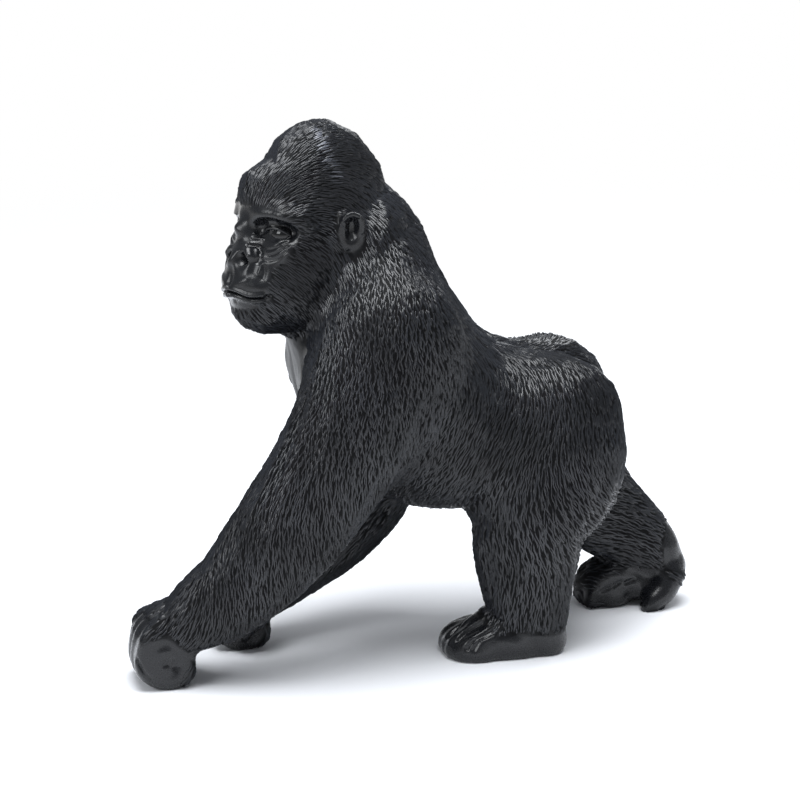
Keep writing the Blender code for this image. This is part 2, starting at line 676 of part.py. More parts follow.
def main():
    clear_scene()
    blocks = new_collection("clay")
    cutters = new_collection("cutters")
    home = new_collection("gorilla")
    loft_trunk("trunk", blocks)
    make_muscles(blocks)
    loft_limb("near_arm", NEAR_ARM, blocks)
    loft_limb("far_arm", FAR_ARM, blocks)
    loft_limb("near_leg", NEAR_LEG, blocks)
    loft_limb("far_leg", FAR_LEG, blocks)
    loft_skull("skull", blocks)
    rough = join(blocks, "rough", blocks)
    remesh_body(rough, BLOCK_VOXEL, 4)
    fill_hollows(rough.data, 120)
    make_face(blocks)
    rough = join(blocks, "rough", blocks)
    remesh_body(rough, MUSCLE_VOXEL, 3)
    fill_hollows(rough.data, 36)
    carve_body(rough.data)
    make_ears(blocks)
    make_fist("near", (-87.0, -26.5, 23.0), NEAR_KNUCKLE, 1, blocks)
    make_fist("far", (-54.0, 16.0, 20.0), FAR_KNUCKLE, -1, blocks)
    make_near_foot(blocks)
    make_far_foot(blocks)
    body = join(blocks, NODE, home)
    remesh_body(body, SKIN_VOXEL, 3)
    fill_hollows(body.data, 8)
    for stations in (NEAR_ARM, FAR_ARM, NEAR_LEG, FAR_LEG):
        carve_locks(body.data, stations)
    carve_face(body.data)
    carve_fist(body.data, NEAR_KNUCKLE)
    carve_fist(body.data, FAR_KNUCKLE)
    carve_toes(body.data, NEAR_TOES)
    carve_toes(body.data, FAR_TOES)
    carve_ears(body.data)
    make_eyes(blocks)
    for o in list(blocks.objects):
        blocks.objects.unlink(o)
        home.objects.link(o)
    body = join(home, NODE, home)
    remesh_body(body, SKIN_VOXEL, 2)
    lighten(body, FACE_DENSITY)
    keep = body.vertex_groups.new(name="face")
    points = read_points(body.data)
    face = np.linalg.norm(points - np.array(on_head(22.0, 0.0, -7.0)), axis=1) < 25.0
    keep.add([int(i) for i in np.nonzero(face)[0]], 1.0, "REPLACE")
    lighten(body, TRIANGLES, "face")
    body.vertex_groups.clear()
    flatten_ground(body, cutters)
    bake_modifiers(body)
    triangles = body.modifiers.new("triangles", "TRIANGULATE")
    triangles.min_vertices = 4
    bake_modifiers(body)
    centre_on_origin(body)
    body.data.materials.append(black_resin())
    bpy.data.collections.remove(blocks)


main()
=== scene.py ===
# %% [markdown]
# # A gorilla cast in black resin
#
# The real thing is one casting, about 230 mm long. A sculptor made the first one in clay, pressed every
# lock of fur in with a small tool, and a mould copied it into black resin with a satin shine. The packed
# solid already has the whole body, so this script dresses it: a smooth skin taken from the solid, a face
# worked finer, and the locks of fur laid on it one by one in the direction that the hair grows.

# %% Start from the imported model
import math

import bmesh
import bpy
import numpy as np
from mathutils import Matrix, Vector
from mathutils.bvhtree import BVHTree
from mathutils.kdtree import KDTree


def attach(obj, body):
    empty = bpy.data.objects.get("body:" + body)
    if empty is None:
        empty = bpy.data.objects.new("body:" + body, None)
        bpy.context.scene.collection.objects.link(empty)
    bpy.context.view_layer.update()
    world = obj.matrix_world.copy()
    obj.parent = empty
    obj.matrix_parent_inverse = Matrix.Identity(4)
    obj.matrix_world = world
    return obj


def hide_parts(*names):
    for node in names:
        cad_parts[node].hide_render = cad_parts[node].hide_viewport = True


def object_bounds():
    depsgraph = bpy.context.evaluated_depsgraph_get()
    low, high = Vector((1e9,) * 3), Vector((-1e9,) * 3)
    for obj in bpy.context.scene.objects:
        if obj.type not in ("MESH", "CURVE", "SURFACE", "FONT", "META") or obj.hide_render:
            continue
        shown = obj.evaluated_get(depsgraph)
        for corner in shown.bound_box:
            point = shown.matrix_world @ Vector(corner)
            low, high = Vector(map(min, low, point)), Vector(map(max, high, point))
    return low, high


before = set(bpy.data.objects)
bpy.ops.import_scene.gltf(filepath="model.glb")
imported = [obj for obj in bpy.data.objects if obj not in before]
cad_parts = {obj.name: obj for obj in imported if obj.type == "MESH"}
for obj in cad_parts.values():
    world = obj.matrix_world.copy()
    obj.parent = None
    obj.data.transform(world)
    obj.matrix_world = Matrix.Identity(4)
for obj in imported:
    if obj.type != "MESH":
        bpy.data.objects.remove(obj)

MM = 0.001
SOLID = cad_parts["gorilla"]
cad_low, cad_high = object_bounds()
MIDDLE = (cad_low + cad_high) / 2
print("solid, mm:", [round(v / MM, 1) for v in cad_high - cad_low])

# %% [markdown]
# ## The camera
#
# The figure stands about a metre from a camera with a long lens, a little above it and a little in front
# of its side. An orthographic camera would be quicker to fit, but then the near fist would be no larger
# than the far one. So the view is matched by angle, distance and lens, as on a table. `PHOTO` is the
# picture's side in pixels, and it lets the marks below be given as places in the picture.

# %% Camera
PHOTO = 800
SENSOR = 36.0
LENS = 128.7
CAMERA_TURN = math.radians(-12.0)
CAMERA_TILT = math.radians(15.0)
CAMERA_AWAY = 1.070
AIM = MIDDLE + Vector((-9.3, -7.25, -3.5)) * MM

back = Vector((math.sin(CAMERA_TURN) * math.cos(CAMERA_TILT),
               -math.cos(CAMERA_TURN) * math.cos(CAMERA_TILT),
               math.sin(CAMERA_TILT)))
right = Vector((math.cos(CAMERA_TURN), math.sin(CAMERA_TURN), 0.0))
above = back.cross(right)
eye_at = AIM + back * CAMERA_AWAY

camera = bpy.data.objects.new("camera", bpy.data.cameras.new("camera"))
camera.data.lens = LENS
camera.data.sensor_width = SENSOR
camera.matrix_world = Matrix.Translation(eye_at) @ Matrix((right, above, back)).transposed().to_4x4()
bpy.context.scene.collection.objects.link(camera)
bpy.context.scene.camera = camera
print("camera, m from the middle:", CAMERA_AWAY, "lens, mm:", LENS)


def sight_line(px, py):
    """The direction in which the camera sees a pixel of the photograph."""
    reach = LENS / SENSOR * PHOTO
    return (right * (px - PHOTO / 2) + above * (PHOTO / 2 - py) - back * reach).normalized()


# %% [markdown]
# ## Floor, room and light
#
# Black gloss is drawn by what it mirrors. A wide soft lamp overhead draws the grey sheen along the crown,
# the shoulders and the back, and a pale room fills the rest, so that the underside stays dark but keeps
# its form. A picture of a real room would give livelier gloss, but square lamps are enough and need no
# file. The floor is pale, and far from the figure it fades to white so that no horizon shows.

# %% Floor
FLOOR_SIDE = 8.0
FLOOR_GAP = 0.0002
FLOOR_FADE_FROM = 0.25
FLOOR_FADE_TO = 1.0
FLOOR_COLOUR = (0.86, 0.87, 0.90, 1.0)


def node(tree, kind, where=(0, 0), **settings):
    """Adds one shader node, with its settings."""
    made = tree.nodes.new(kind)
    made.location = where
    for name, value in settings.items():
        setattr(made, name, value)
    return made


def floor_material():
    """Pale and matt near the figure, and plain white far from it."""
    material = bpy.data.materials.new("pale_floor")
    material.use_nodes = True
    tree = material.node_tree
    tree.nodes.clear()
    paint = node(tree, "ShaderNodeBsdfDiffuse")
    paint.inputs["Color"].default_value = FLOOR_COLOUR
    white = node(tree, "ShaderNodeEmission")
    white.inputs["Color"].default_value = (1, 1, 1, 1)
    place = node(tree, "ShaderNodeNewGeometry")
    far = node(tree, "ShaderNodeVectorMath", operation="LENGTH")
    tree.links.new(place.outputs["Position"], far.inputs[0])
    fade = node(tree, "ShaderNodeMapRange", interpolation_type="SMOOTHSTEP")
    fade.inputs["From Min"].default_value = FLOOR_FADE_FROM
    fade.inputs["From Max"].default_value = FLOOR_FADE_TO
    tree.links.new(far.outputs["Value"], fade.inputs["Value"])
    mix = node(tree, "ShaderNodeMixShader")
    tree.links.new(fade.outputs["Result"], mix.inputs["Fac"])
    tree.links.new(paint.outputs["BSDF"], mix.inputs[1])
    tree.links.new(white.outputs["Emission"], mix.inputs[2])
    out = node(tree, "ShaderNodeOutputMaterial")
    tree.links.new(mix.outputs["Shader"], out.inputs["Surface"])
    return material


bpy.ops.mesh.primitive_plane_add(size=FLOOR_SIDE)
floor = bpy.context.object
floor.name = "floor"
floor.location.z = cad_low.z - FLOOR_GAP
floor.data.materials.append(floor_material())
print("floor, m:", FLOOR_SIDE, "white from:", FLOOR_FADE_TO)

# %% Room light
ROOM_LIGHT = 0.34
ROOM_COLOUR = (0.93, 0.96, 1.0, 1.0)


def light_room():
    """White behind the figure, and a softer grey all round as light."""
    world = bpy.data.worlds.new("room")
    bpy.context.scene.world = world
    world.use_nodes = True
    tree = world.node_tree
    tree.nodes.clear()
    ray = node(tree, "ShaderNodeLightPath")
    seen = node(tree, "ShaderNodeBackground")
    seen.inputs["Color"].default_value = (1, 1, 1, 1)
    lit = node(tree, "ShaderNodeBackground")
    lit.inputs["Color"].default_value = ROOM_COLOUR
    lit.inputs["Strength"].default_value = ROOM_LIGHT
    mix = node(tree, "ShaderNodeMixShader")
    tree.links.new(ray.outputs["Is Camera Ray"], mix.inputs["Fac"])
    tree.links.new(lit.outputs["Background"], mix.inputs[1])
    tree.links.new(seen.outputs["Background"], mix.inputs[2])
    out = node(tree, "ShaderNodeOutputWorld")
    tree.links.new(mix.outputs["Shader"], out.inputs["Surface"])


light_room()
bpy.context.scene.view_settings.view_transform = "Standard"
print("room light:", ROOM_LIGHT)

# %% Lamps
LAMPS = {
    "overhead": {"at": (-0.05, -0.15, 1.30), "size": 0.90, "watts": 24.0},
    "front_left": {"at": (-1.15, -0.75, 0.85), "size": 0.70, "watts": 9.0},
    "back_right": {"at": (0.95, 0.85, 0.90), "size": 0.60, "watts": 6.0},
}
LAMP_COLOUR = (0.96, 0.98, 1.0)


def add_lamp(name, at, size, watts):
    """A square lamp that faces the middle of the figure."""
    lamp = bpy.data.lights.new(name, "AREA")
    lamp.shape = "SQUARE"
    lamp.size = size
    lamp.energy = watts
    lamp.color = LAMP_COLOUR
    holder = bpy.data.objects.new(name, lamp)
    holder.location = at
    holder.rotation_euler = (MIDDLE - Vector(at)).to_track_quat("-Z", "Y").to_euler()
    bpy.context.scene.collection.objects.link(holder)


for lamp_name, lamp in LAMPS.items():
    add_lamp(lamp_name, **lamp)
print("lamps:", ", ".join(LAMPS))

# %% [markdown]
# ## The resin
#
# One black resin does for the whole figure, but it does not look the same everywhere. In the hollows it
# is matt and painted almost soot black, as painted shade; the crest of each lock is painted blue-grey, as a
# painted highlight, under a glossy coat; bare skin is smoother than fur. It could be painted as a picture
# over the figure, but a picture has to be drawn again whenever a lock moves. Here a shader node group makes
# the colour, roughness and coat from two masks that ride on the mesh. `crest` is 0 at the foot of a lock,
# half along its top and up to 1 on the parting of the crown, which is painted brightest as a painted
# highlight. `bare` is 1 on bare skin, and less where that skin is dull.

# %% Shader group for resin with painted shade and painted highlight
# Colours of the ramp: painted shade in the hollows, the resin's own black, painted highlight on the crests
# and a brighter painted highlight on the parting.
HOLLOW_SHADE_BLACK = (0.0022, 0.0024, 0.0030, 1.0)
RESIN_BLACK = (0.0085, 0.0092, 0.0115, 1.0)
CREST_HIGHLIGHT_GREY = (0.024, 0.027, 0.034, 1.0)
PARTING_HIGHLIGHT_GREY = (0.20, 0.21, 0.25, 1.0)
BARE_BLACK = (0.0050, 0.0056, 0.0072, 1.0)
BARE_COAT = 0.7
COAT_ROUGHNESS = 0.27
HOLLOW_ROUGHNESS = 0.62
CREST_ROUGHNESS = 0.27
BARE_ROUGHNESS = 0.28
RESIN_AT = 0.28
FULL_CREST = 0.5
PATCH_SIZE = 45.0
LEAST_HIGHLIGHT = 0.70
GRAIN_SWING = 0.14


def highlight_shade_resin_group():
    """Colour, roughness, coat and fine grain from the crest and bare masks; the colour holds painted shade
    and painted highlight.
    """
    group = bpy.data.node_groups.new("painted_light_resin", "ShaderNodeTree")
    for name, value in (("Crest", 0.0), ("Bare", 0.0), ("Grain Size", 900.0), ("Crest Highlight", 1.0)):
        socket = group.interface.new_socket(name, in_out="INPUT", socket_type="NodeSocketFloat")
        socket.default_value = value
    group.interface.new_socket("Color", in_out="OUTPUT", socket_type="NodeSocketColor")
    group.interface.new_socket("Roughness", in_out="OUTPUT", socket_type="NodeSocketFloat")
    group.interface.new_socket("Coat", in_out="OUTPUT", socket_type="NodeSocketFloat")
    group.interface.new_socket("Height", in_out="OUTPUT", socket_type="NodeSocketFloat")
    inside = node(group, "NodeGroupInput", (-1200, 0))
    outside = node(group, "NodeGroupOutput", (600, 0))
    place = node(group, "ShaderNodeTexCoord", (-1200, -300))

    patches = node(group, "ShaderNodeTexNoise", (-900, -200))
    patches.inputs["Scale"].default_value = PATCH_SIZE
    patches.inputs["Detail"].default_value = 3.0
    group.links.new(place.outputs["Object"], patches.inputs["Vector"])
    grain = node(group, "ShaderNodeTexNoise", (-900, -500))
    grain.inputs["Detail"].default_value = 2.0
    group.links.new(place.outputs["Object"], grain.inputs["Vector"])
    group.links.new(inside.outputs["Grain Size"], grain.inputs["Scale"])

    # How much painted highlight the crest mask gives.
    crest_highlight = node(group, "ShaderNodeMath", (-600, 100), operation="MULTIPLY")
    group.links.new(inside.outputs["Crest"], crest_highlight.inputs[0])
    group.links.new(inside.outputs["Crest Highlight"], crest_highlight.inputs[1])
    # Noise patches make the painted highlight stronger or weaker at random.
    highlight_weight = node(group, "ShaderNodeMapRange", (-600, -200))
    highlight_weight.inputs["From Min"].default_value = 0.35
    highlight_weight.inputs["From Max"].default_value = 0.65
    highlight_weight.inputs["To Min"].default_value = LEAST_HIGHLIGHT
    highlight_weight.inputs["To Max"].default_value = 1.0
    group.links.new(patches.outputs["Fac"], highlight_weight.inputs["Value"])
    amount = node(group, "ShaderNodeMath", (-400, 0), operation="MULTIPLY")
    group.links.new(crest_highlight.outputs[0], amount.inputs[0])
    group.links.new(highlight_weight.outputs["Result"], amount.inputs[1])

    # The colour runs from painted shade at the foot of a lock to painted highlight on its crest and on the
    # parting.
    ramp = node(group, "ShaderNodeValToRGB", (-200, 100))
    ramp.color_ramp.elements[0].color = HOLLOW_SHADE_BLACK
    ramp.color_ramp.elements[1].color = PARTING_HIGHLIGHT_GREY
    for position, colour in ((RESIN_AT, RESIN_BLACK), (FULL_CREST, CREST_HIGHLIGHT_GREY)):
        ramp.color_ramp.elements.new(position).color = colour
    group.links.new(amount.outputs[0], ramp.inputs["Fac"])
    skin = node(group, "ShaderNodeMix", (100, 100), data_type="RGBA")
    skin.inputs["B"].default_value = BARE_BLACK
    group.links.new(inside.outputs["Bare"], skin.inputs["Factor"])
    group.links.new(ramp.outputs["Color"], skin.inputs["A"])
    group.links.new(skin.outputs["Result"], outside.inputs["Color"])

    shine = node(group, "ShaderNodeMapRange", (-200, -200))
    shine.inputs["From Max"].default_value = FULL_CREST
    shine.inputs["To Min"].default_value = HOLLOW_ROUGHNESS
    shine.inputs["To Max"].default_value = CREST_ROUGHNESS
    group.links.new(amount.outputs[0], shine.inputs["Value"])
    smooth = node(group, "ShaderNodeMix", (100, -200), data_type="FLOAT")
    smooth.inputs["B"].default_value = BARE_ROUGHNESS
    group.links.new(inside.outputs["Bare"], smooth.inputs["Factor"])
    group.links.new(shine.outputs["Result"], smooth.inputs["A"])
    speck = node(group, "ShaderNodeMath", (100, -400), operation="MULTIPLY_ADD")
    speck.inputs[1].default_value = GRAIN_SWING
    group.links.new(grain.outputs["Fac"], speck.inputs[0])
    lowered = node(group, "ShaderNodeMath", (300, -200), operation="SUBTRACT")
    lowered.inputs[1].default_value = GRAIN_SWING / 2.0
    group.links.new(smooth.outputs["Result"], speck.inputs[2])
    group.links.new(speck.outputs[0], lowered.inputs[0])
    group.links.new(lowered.outputs[0], outside.inputs["Roughness"])
    group.links.new(grain.outputs["Fac"], outside.inputs["Height"])

    bare = node(group, "ShaderNodeMath", (0, -800), operation="MULTIPLY")
    bare.inputs[1].default_value = BARE_COAT
    group.links.new(inside.outputs["Bare"], bare.inputs[0])
    coat = node(group, "ShaderNodeMath", (300, -600), operation="MAXIMUM")
    group.links.new(bare.outputs[0], coat.inputs[0])
    glint = node(group, "ShaderNodeMapRange", (0, -600))
    glint.inputs["From Max"].default_value = FULL_CREST
    group.links.new(amount.outputs[0], glint.inputs["Value"])
    group.links.new(glint.outputs["Result"], coat.inputs[1])
    group.links.new(coat.outputs[0], outside.inputs["Coat"])
    return group


RESIN_GROUP = highlight_shade_resin_group()
print("group outputs:", ", ".join(item.name for item in RESIN_GROUP.interface.items_tree
                                  if item.in_out == "OUTPUT"))

# %% Materials of skin, fur and eyes
RESIN_SPECULAR = 0.12
EYE_ROUGHNESS = 0.07


def resin_material(name, crest_highlight, grain_size, grain_depth):
    """Black resin. The crest and bare masks come from the mesh."""
    material = bpy.data.materials.new(name)
    material.use_nodes = True
    tree = material.node_tree
    shader = tree.nodes["Principled BSDF"]
    shader.inputs["Specular IOR Level"].default_value = RESIN_SPECULAR
    shader.inputs["Coat Roughness"].default_value = COAT_ROUGHNESS
    resin = node(tree, "ShaderNodeGroup", (-500, 0))
    resin.node_tree = RESIN_GROUP
    # How much painted highlight this material puts on the crests.
    resin.inputs["Crest Highlight"].default_value = crest_highlight
    resin.inputs["Grain Size"].default_value = grain_size
    for row, mask in enumerate(("crest", "bare")):
        reader = node(tree, "ShaderNodeAttribute", (-800, -200 * row), attribute_name=mask)
        tree.links.new(reader.outputs["Fac"], resin.inputs[mask.capitalize()])
    bump = node(tree, "ShaderNodeBump", (-250, -250))
    bump.inputs["Strength"].default_value = 0.5
    bump.inputs["Distance"].default_value = grain_depth
    tree.links.new(resin.outputs["Height"], bump.inputs["Height"])
    tree.links.new(resin.outputs["Color"], shader.inputs["Base Color"])
    tree.links.new(resin.outputs["Roughness"], shader.inputs["Roughness"])
    tree.links.new(resin.outputs["Coat"], shader.inputs["Coat Weight"])
    tree.links.new(bump.outputs["Normal"], shader.inputs["Normal"])
    return material


def polished_resin():
    """The eyes are the same resin, polished."""
    material = bpy.data.materials.new("polished_resin")
    material.use_nodes = True
    shader = material.node_tree.nodes["Principled BSDF"]
    # The eye is plain near-black, the same value as the painted shade of the hollows.
    shader.inputs["Base Color"].default_value = HOLLOW_SHADE_BLACK
    shader.inputs["Roughness"].default_value = EYE_ROUGHNESS
    return material


SKIN_RESIN = resin_material("skin_resin", crest_highlight=0.4, grain_size=1400.0, grain_depth=0.00012)
FUR_RESIN = resin_material("fur_resin", crest_highlight=1.0, grain_size=900.0, grain_depth=0.0001)
EYE_RESIN = polished_resin()
print("materials:", SKIN_RESIN.name, FUR_RESIN.name, EYE_RESIN.name)

# %% [markdown]
# ## The head's own axes
#
# The head is turned towards the viewer. Marks on it could be given in the figure's own axes, but then the
# two halves of the face would need different numbers. In the head's axes one set does for both: `f` is
# forward out of the face, `l` to the gorilla's left, and `u` up, in millimetres from the middle of the
# skull.

# %% Head axes
HEAD_AT = MIDDLE / MM + Vector((-42.2, -1.75, 63.4))
HEAD_YAW = math.radians(26.0)
HEAD_ROLL = math.radians(3.0)
FORE = Vector((-math.cos(HEAD_YAW), -math.sin(HEAD_YAW), 0.0))
side = Vector((math.sin(HEAD_YAW), -math.cos(HEAD_YAW), 0.0))
LEFT = side * math.cos(HEAD_ROLL) + Vector((0, 0, math.sin(HEAD_ROLL)))
CROWN = Vector((0, 0, math.cos(HEAD_ROLL))) - side * math.sin(HEAD_ROLL)
HEAD_MATRIX = np.array([FORE, LEFT, CROWN])
print("middle of the skull, mm:", [round(v, 1) for v in HEAD_AT])


def on_head(place):
    """A place in the head's axes, as a place on the figure, in millimetres."""
    f, l, u = place
    return HEAD_AT + FORE * f + LEFT * l + CROWN * u


def in_head(points):
    """Places on the figure, as places in the head's axes."""
    return (points - np.array(HEAD_AT)) @ HEAD_MATRIX.T


# %% [markdown]
# ## A skin from the solid
#
# The real skin is one smooth surface, but the solid has to stay light, so it is made of small flat
# triangles. A subdivision surface would round them and keep their long thin shapes. A voxel remesh turns
# them into even squares instead, and a little smoothing takes the flats out. Under the fur those squares
# can be coarse, and on bare skin they are split again, so that wrinkles and creases have points to live
# on. Working in millimetres with arrays of points keeps every tool below to a few lines.

# %% Mesh helpers
PULL_IN = 0.55
PUSH_OUT = -0.57


def read_points(mesh):
    """The mesh's points, in millimetres."""
    flat = np.empty(len(mesh.vertices) * 3)
    mesh.vertices.foreach_get("co", flat)
    return flat.reshape(-1, 3) / MM


def write_points(mesh, points):
    mesh.vertices.foreach_set("co", (points * MM).ravel())
    mesh.update()


def normals_of(mesh):
    flat = np.empty(len(mesh.vertices) * 3)
    mesh.vertices.foreach_get("normal", flat)
    return flat.reshape(-1, 3)


def edges_of(mesh):
    flat = np.empty(len(mesh.edges) * 2, dtype=np.int64)
    mesh.edges.foreach_get("vertices", flat)
    return flat.reshape(-1, 2)


def settle(piece):
    """Applies the piece's modifiers."""
    graph = bpy.context.evaluated_depsgraph_get()
    made = bpy.data.meshes.new_from_object(piece.evaluated_get(graph))
    piece.modifiers.clear()
    piece.data = made


def neighbour_mean(mesh, points):
    """For each point, the middle of the points that share an edge with it."""
    pairs = edges_of(mesh)
    count = len(points)
    total = np.zeros_like(points)
    for axis in range(3):
        total[:, axis] = (np.bincount(pairs[:, 0], points[pairs[:, 1], axis], count)
                          + np.bincount(pairs[:, 1], points[pairs[:, 0], axis], count))
    degree = np.bincount(pairs.ravel(), minlength=count)[:, None]
    return total / degree


def relax(mesh, rounds, weight=None):
    """Smooths almost without shrinking: a step inwards, then a slightly longer step back out."""
    points = read_points(mesh)
    for _ in range(rounds):
        for step in (PULL_IN, PUSH_OUT):
            move = (neighbour_mean(mesh, points) - points) * step
            points = points + (move if weight is None else move * weight[:, None])
    write_points(mesh, points)


def set_mask(mesh, name, values):
    """Stores one number for each vertex, for the material to read."""
    layer = mesh.attributes.get(name) or mesh.attributes.new(name, "FLOAT", "POINT")
    layer.data.foreach_set("value", np.ascontiguousarray(values, dtype=np.float32))


def smooth_step(low, high, value):
    """0 before low, 1 after high, and a soft slope between them."""
    t = np.clip((value - low) / (high - low), 0.0, 1.0)
    return t * t * (3.0 - 2.0 * t)


# %% Skin from the solid
SKIN_VOXEL = 1.0
SKIN_ROUNDS = 6


def stand(points):
    """Nothing goes below the ground that the figure stands on."""
    points[..., 2] = np.maximum(points[..., 2], 0.0)
    return points


def make_skin():
    """A copy of the solid in even squares."""
    piece = bpy.data.objects.new("skin", SOLID.data.copy())
    bpy.context.scene.collection.objects.link(piece)
    piece.data.materials.clear()
    remesh = piece.modifiers.new("remesh", "REMESH")
    remesh.mode = "VOXEL"
    remesh.voxel_size = SKIN_VOXEL * MM
    settle(piece)
    relax(piece.data, SKIN_ROUNDS)
    return piece


skin = make_skin()
print("skin squares:", len(skin.data.polygons))

# %% [markdown]
# ## Corrections of form
#
# Seen against the photograph, a few places are a millimetre or two too full, too flat or too far aside.
# They could be sculpted by hand, but then the next figure would need the same hand again. A correction
# here is a soft touch at one pixel of the picture, which the camera throws on to the skin. A thumb push
# moves the skin near it along its normals, by `push` millimetres. Where the skin turns away from the
# camera a push hardly shows, so a slide moves the skin across the picture, by `to_right` and `up`. Both
# fade like a bell over their `reach`.

# %% Thumb pushes
PUSHES = [
    {"pixel": (264, 150), "reach": 8.0, "push": -2.0},
    {"pixel": (246, 183), "reach": 8.0, "push": 1.4},
    {"pixel": (234, 206), "reach": 4.0, "push": -1.6},
    {"pixel": (243, 229), "reach": 3.6, "push": 2.0},
    {"pixel": (378, 180), "reach": 8.0, "push": 1.2},
    {"pixel": (412, 215), "reach": 8.0, "push": -1.6},
    {"pixel": (424, 242), "reach": 8.0, "push": 1.2},
    {"pixel": (337, 277), "reach": 5.0, "push": -1.6},
    {"pixel": (328, 297), "reach": 5.0, "push": -2.0},
    {"pixel": (281, 216), "reach": 3.0, "push": 0.7},
]


def tree_of(piece):
    """The piece's faces, sorted so that a line of sight finds them fast."""
    mesh = piece.data
    return BVHTree.FromPolygons([v.co[:] for v in mesh.vertices], [p.vertices[:] for p in mesh.polygons])


def thrown(tree, px, py):
    """Where the sight line of a pixel meets the skin, and the skin's normal there."""
    place, normal, _, _ = tree.ray_cast(eye_at, sight_line(px, py))
    return place, normal


def mark_under(tree, pixel):
    """Where a pixel of the picture meets the skin, in millimetres."""
    return np.array(thrown(tree, *pixel)[0]) / MM


def thumb(mesh, tree, pixel, reach, push):
    """Moves the skin near a pixel in or out, by millimetres."""
    points = read_points(mesh)
    near = np.exp(-((points - mark_under(tree, pixel)) ** 2).sum(1) / reach ** 2)
    write_points(mesh, points + normals_of(mesh) * (near * push)[:, None])


FIRST_TREE = tree_of(skin)
for one in PUSHES:
    thumb(skin.data, FIRST_TREE, **one)
print("pushes:", len(PUSHES))

# %% Slides across the picture
SLIDES = [
    {"pixel": (264, 156), "reach": 6.0, "to_right": 1.0, "up": -1.3},
    {"pixel": (232, 205), "reach": 2.6, "to_right": 1.5, "up": -1.6},
    {"pixel": (243, 227), "reach": 3.2, "to_right": -2.2, "up": 0.0},
    {"pixel": (232, 262), "reach": 2.4, "to_right": -1.7, "up": 0.0},
]


def slide(mesh, tree, pixel, reach, to_right, up):
    """Moves the skin near a pixel across the picture, by millimetres."""
    points = read_points(mesh)
    gap = points - mark_under(tree, pixel)
    near = np.exp(-((gap @ np.array(right)) ** 2 + (gap @ np.array(above)) ** 2) / reach ** 2)
    write_points(mesh, points + near[:, None] * np.array(right * to_right + above * up))


for one in SLIDES:
    slide(skin.data, FIRST_TREE, **one)
print("slides:", len(SLIDES))

# %% [markdown]
# ## Where the skin is bare
#
# Hair stops at the face, the ears, the two plates of the chest, the hands and the feet. These places could
# be painted on the mesh by hand, but a painted mask is lost when the mesh is made again. Here each is a
# simple shape in space, and the masks blend over a millimetre or two, so the fur has a soft ragged edge.
# The face's edge is drawn as an outline seen from the front of the head.

# %% Bare skin
FACE_EDGE = [(0.0, 11.0), (8.0, 11.2), (13.0, 10.8), (16.6, 9.0), (18.2, 4.5), (18.6, 0.0), (18.9, -3.3),
             (18.0, -6.5), (16.6, -8.8), (14.6, -10.6), (13.4, -13.0), (13.4, -16.0), (13.5, -19.0),
             (12.6, -22.4), (8.5, -25.6), (4.0, -26.6), (0.0, -26.8)]
FACE_FRONT = 12.0
EAR_AT = (-0.9, 25.0, 0.3)
EAR_SIZE = (4.9, 5.5, 7.8)
BARE_BALLS = {
    "left_fist": ((-106.0, -23.0, 9.0), (17.0, 17.0, 17.0)),
    "right_fist": ((-70.0, 14.0, 9.0), (15.0, 16.0, 14.0)),
    "left_toes": ((14.0, -16.5, 3.0), (16.0, 19.0, 13.0)),
    "left_wrist": ((-88.0, -24.0, 13.0), (15.0, 12.0, 5.0)),
    "left_foot": ((33.0, -16.0, 0.0), (28.0, 21.0, 13.0)),
    "right_heel": ((108.0, 27.0, 22.0), (8.0, 13.0, 12.0)),
    "right_foot": ((95.0, 27.0, 6.0), (24.0, 16.0, 12.0)),
}
CHEST_TOP = 129.0
CHEST_POINT = 93.0
CHEST_HALF = 23.0
CHEST_BACK = -30.0
CHEST_SHINE = 0.4
COLLAR = 4.0
COLLAR_SIDE = -5.0


def inside_outline(x, y, outline):
    """Signed distance to a closed outline: positive inside."""
    outline = np.array(outline)
    nearest = np.full(len(x), 1e9)
    inside = np.zeros(len(x), dtype=bool)
    for (xa, ya), (xb, yb) in zip(outline, np.roll(outline, -1, axis=0)):
        length = (xb - xa) ** 2 + (yb - ya) ** 2
        t = np.clip(((x - xa) * (xb - xa) + (y - ya) * (yb - ya)) / max(length, 1e-9), 0, 1)
        nearest = np.minimum(nearest, np.hypot(x - xa - t * (xb - xa), y - ya - t * (yb - ya)))
        crosses = ((ya > y) != (yb > y)) & (x < (xb - xa) * (y - ya) / (yb - ya + 1e-12) + xa)
        inside ^= crosses
    return np.where(inside, nearest, -nearest)


def face_mask(points, inset=0.0):
    """1 inside the face's outline, on the front of the head only."""
    f, l, u = in_head(points).T
    outline = FACE_EDGE + [(-x, y) for x, y in FACE_EDGE[-2:0:-1]]
    return smooth_step(inset - 0.3, inset + 0.5, inside_outline(l, u, outline)) * (f > FACE_FRONT)


def ear_mask(points):
    f, l, u = in_head(points).T
    away = (((f - EAR_AT[0]) / EAR_SIZE[0]) ** 2 + ((np.abs(l) - EAR_AT[1]) / EAR_SIZE[1]) ** 2
            + ((u - EAR_AT[2]) / EAR_SIZE[2]) ** 2)
    return smooth_step(1.15, 0.95, away)


def chest_mask(points):
    """1 on the two plates of the chest, which narrow to a point below; a collar of fur tops the left one."""
    x, y, z = points.T
    fall = np.clip((CHEST_TOP - z) / (CHEST_TOP - CHEST_POINT), 0.0, 1.0)
    half_width = CHEST_HALF * np.sqrt(1.0 - fall ** 2)
    collar = np.where(y < COLLAR_SIDE, CHEST_TOP - COLLAR, CHEST_TOP)
    shape = smooth_step(-1.0, 1.0, half_width - np.abs(y)) * smooth_step(2.0, 0.0, z - collar)
    return shape * smooth_step(CHEST_POINT - 1.0, CHEST_POINT + 1.0, z) * (x < CHEST_BACK)


def ball_mask(points, at, size):
    away = np.sqrt((((points - np.array(at)) / np.array(size)) ** 2).sum(1))
    return smooth_step(1.04, 0.98, away)


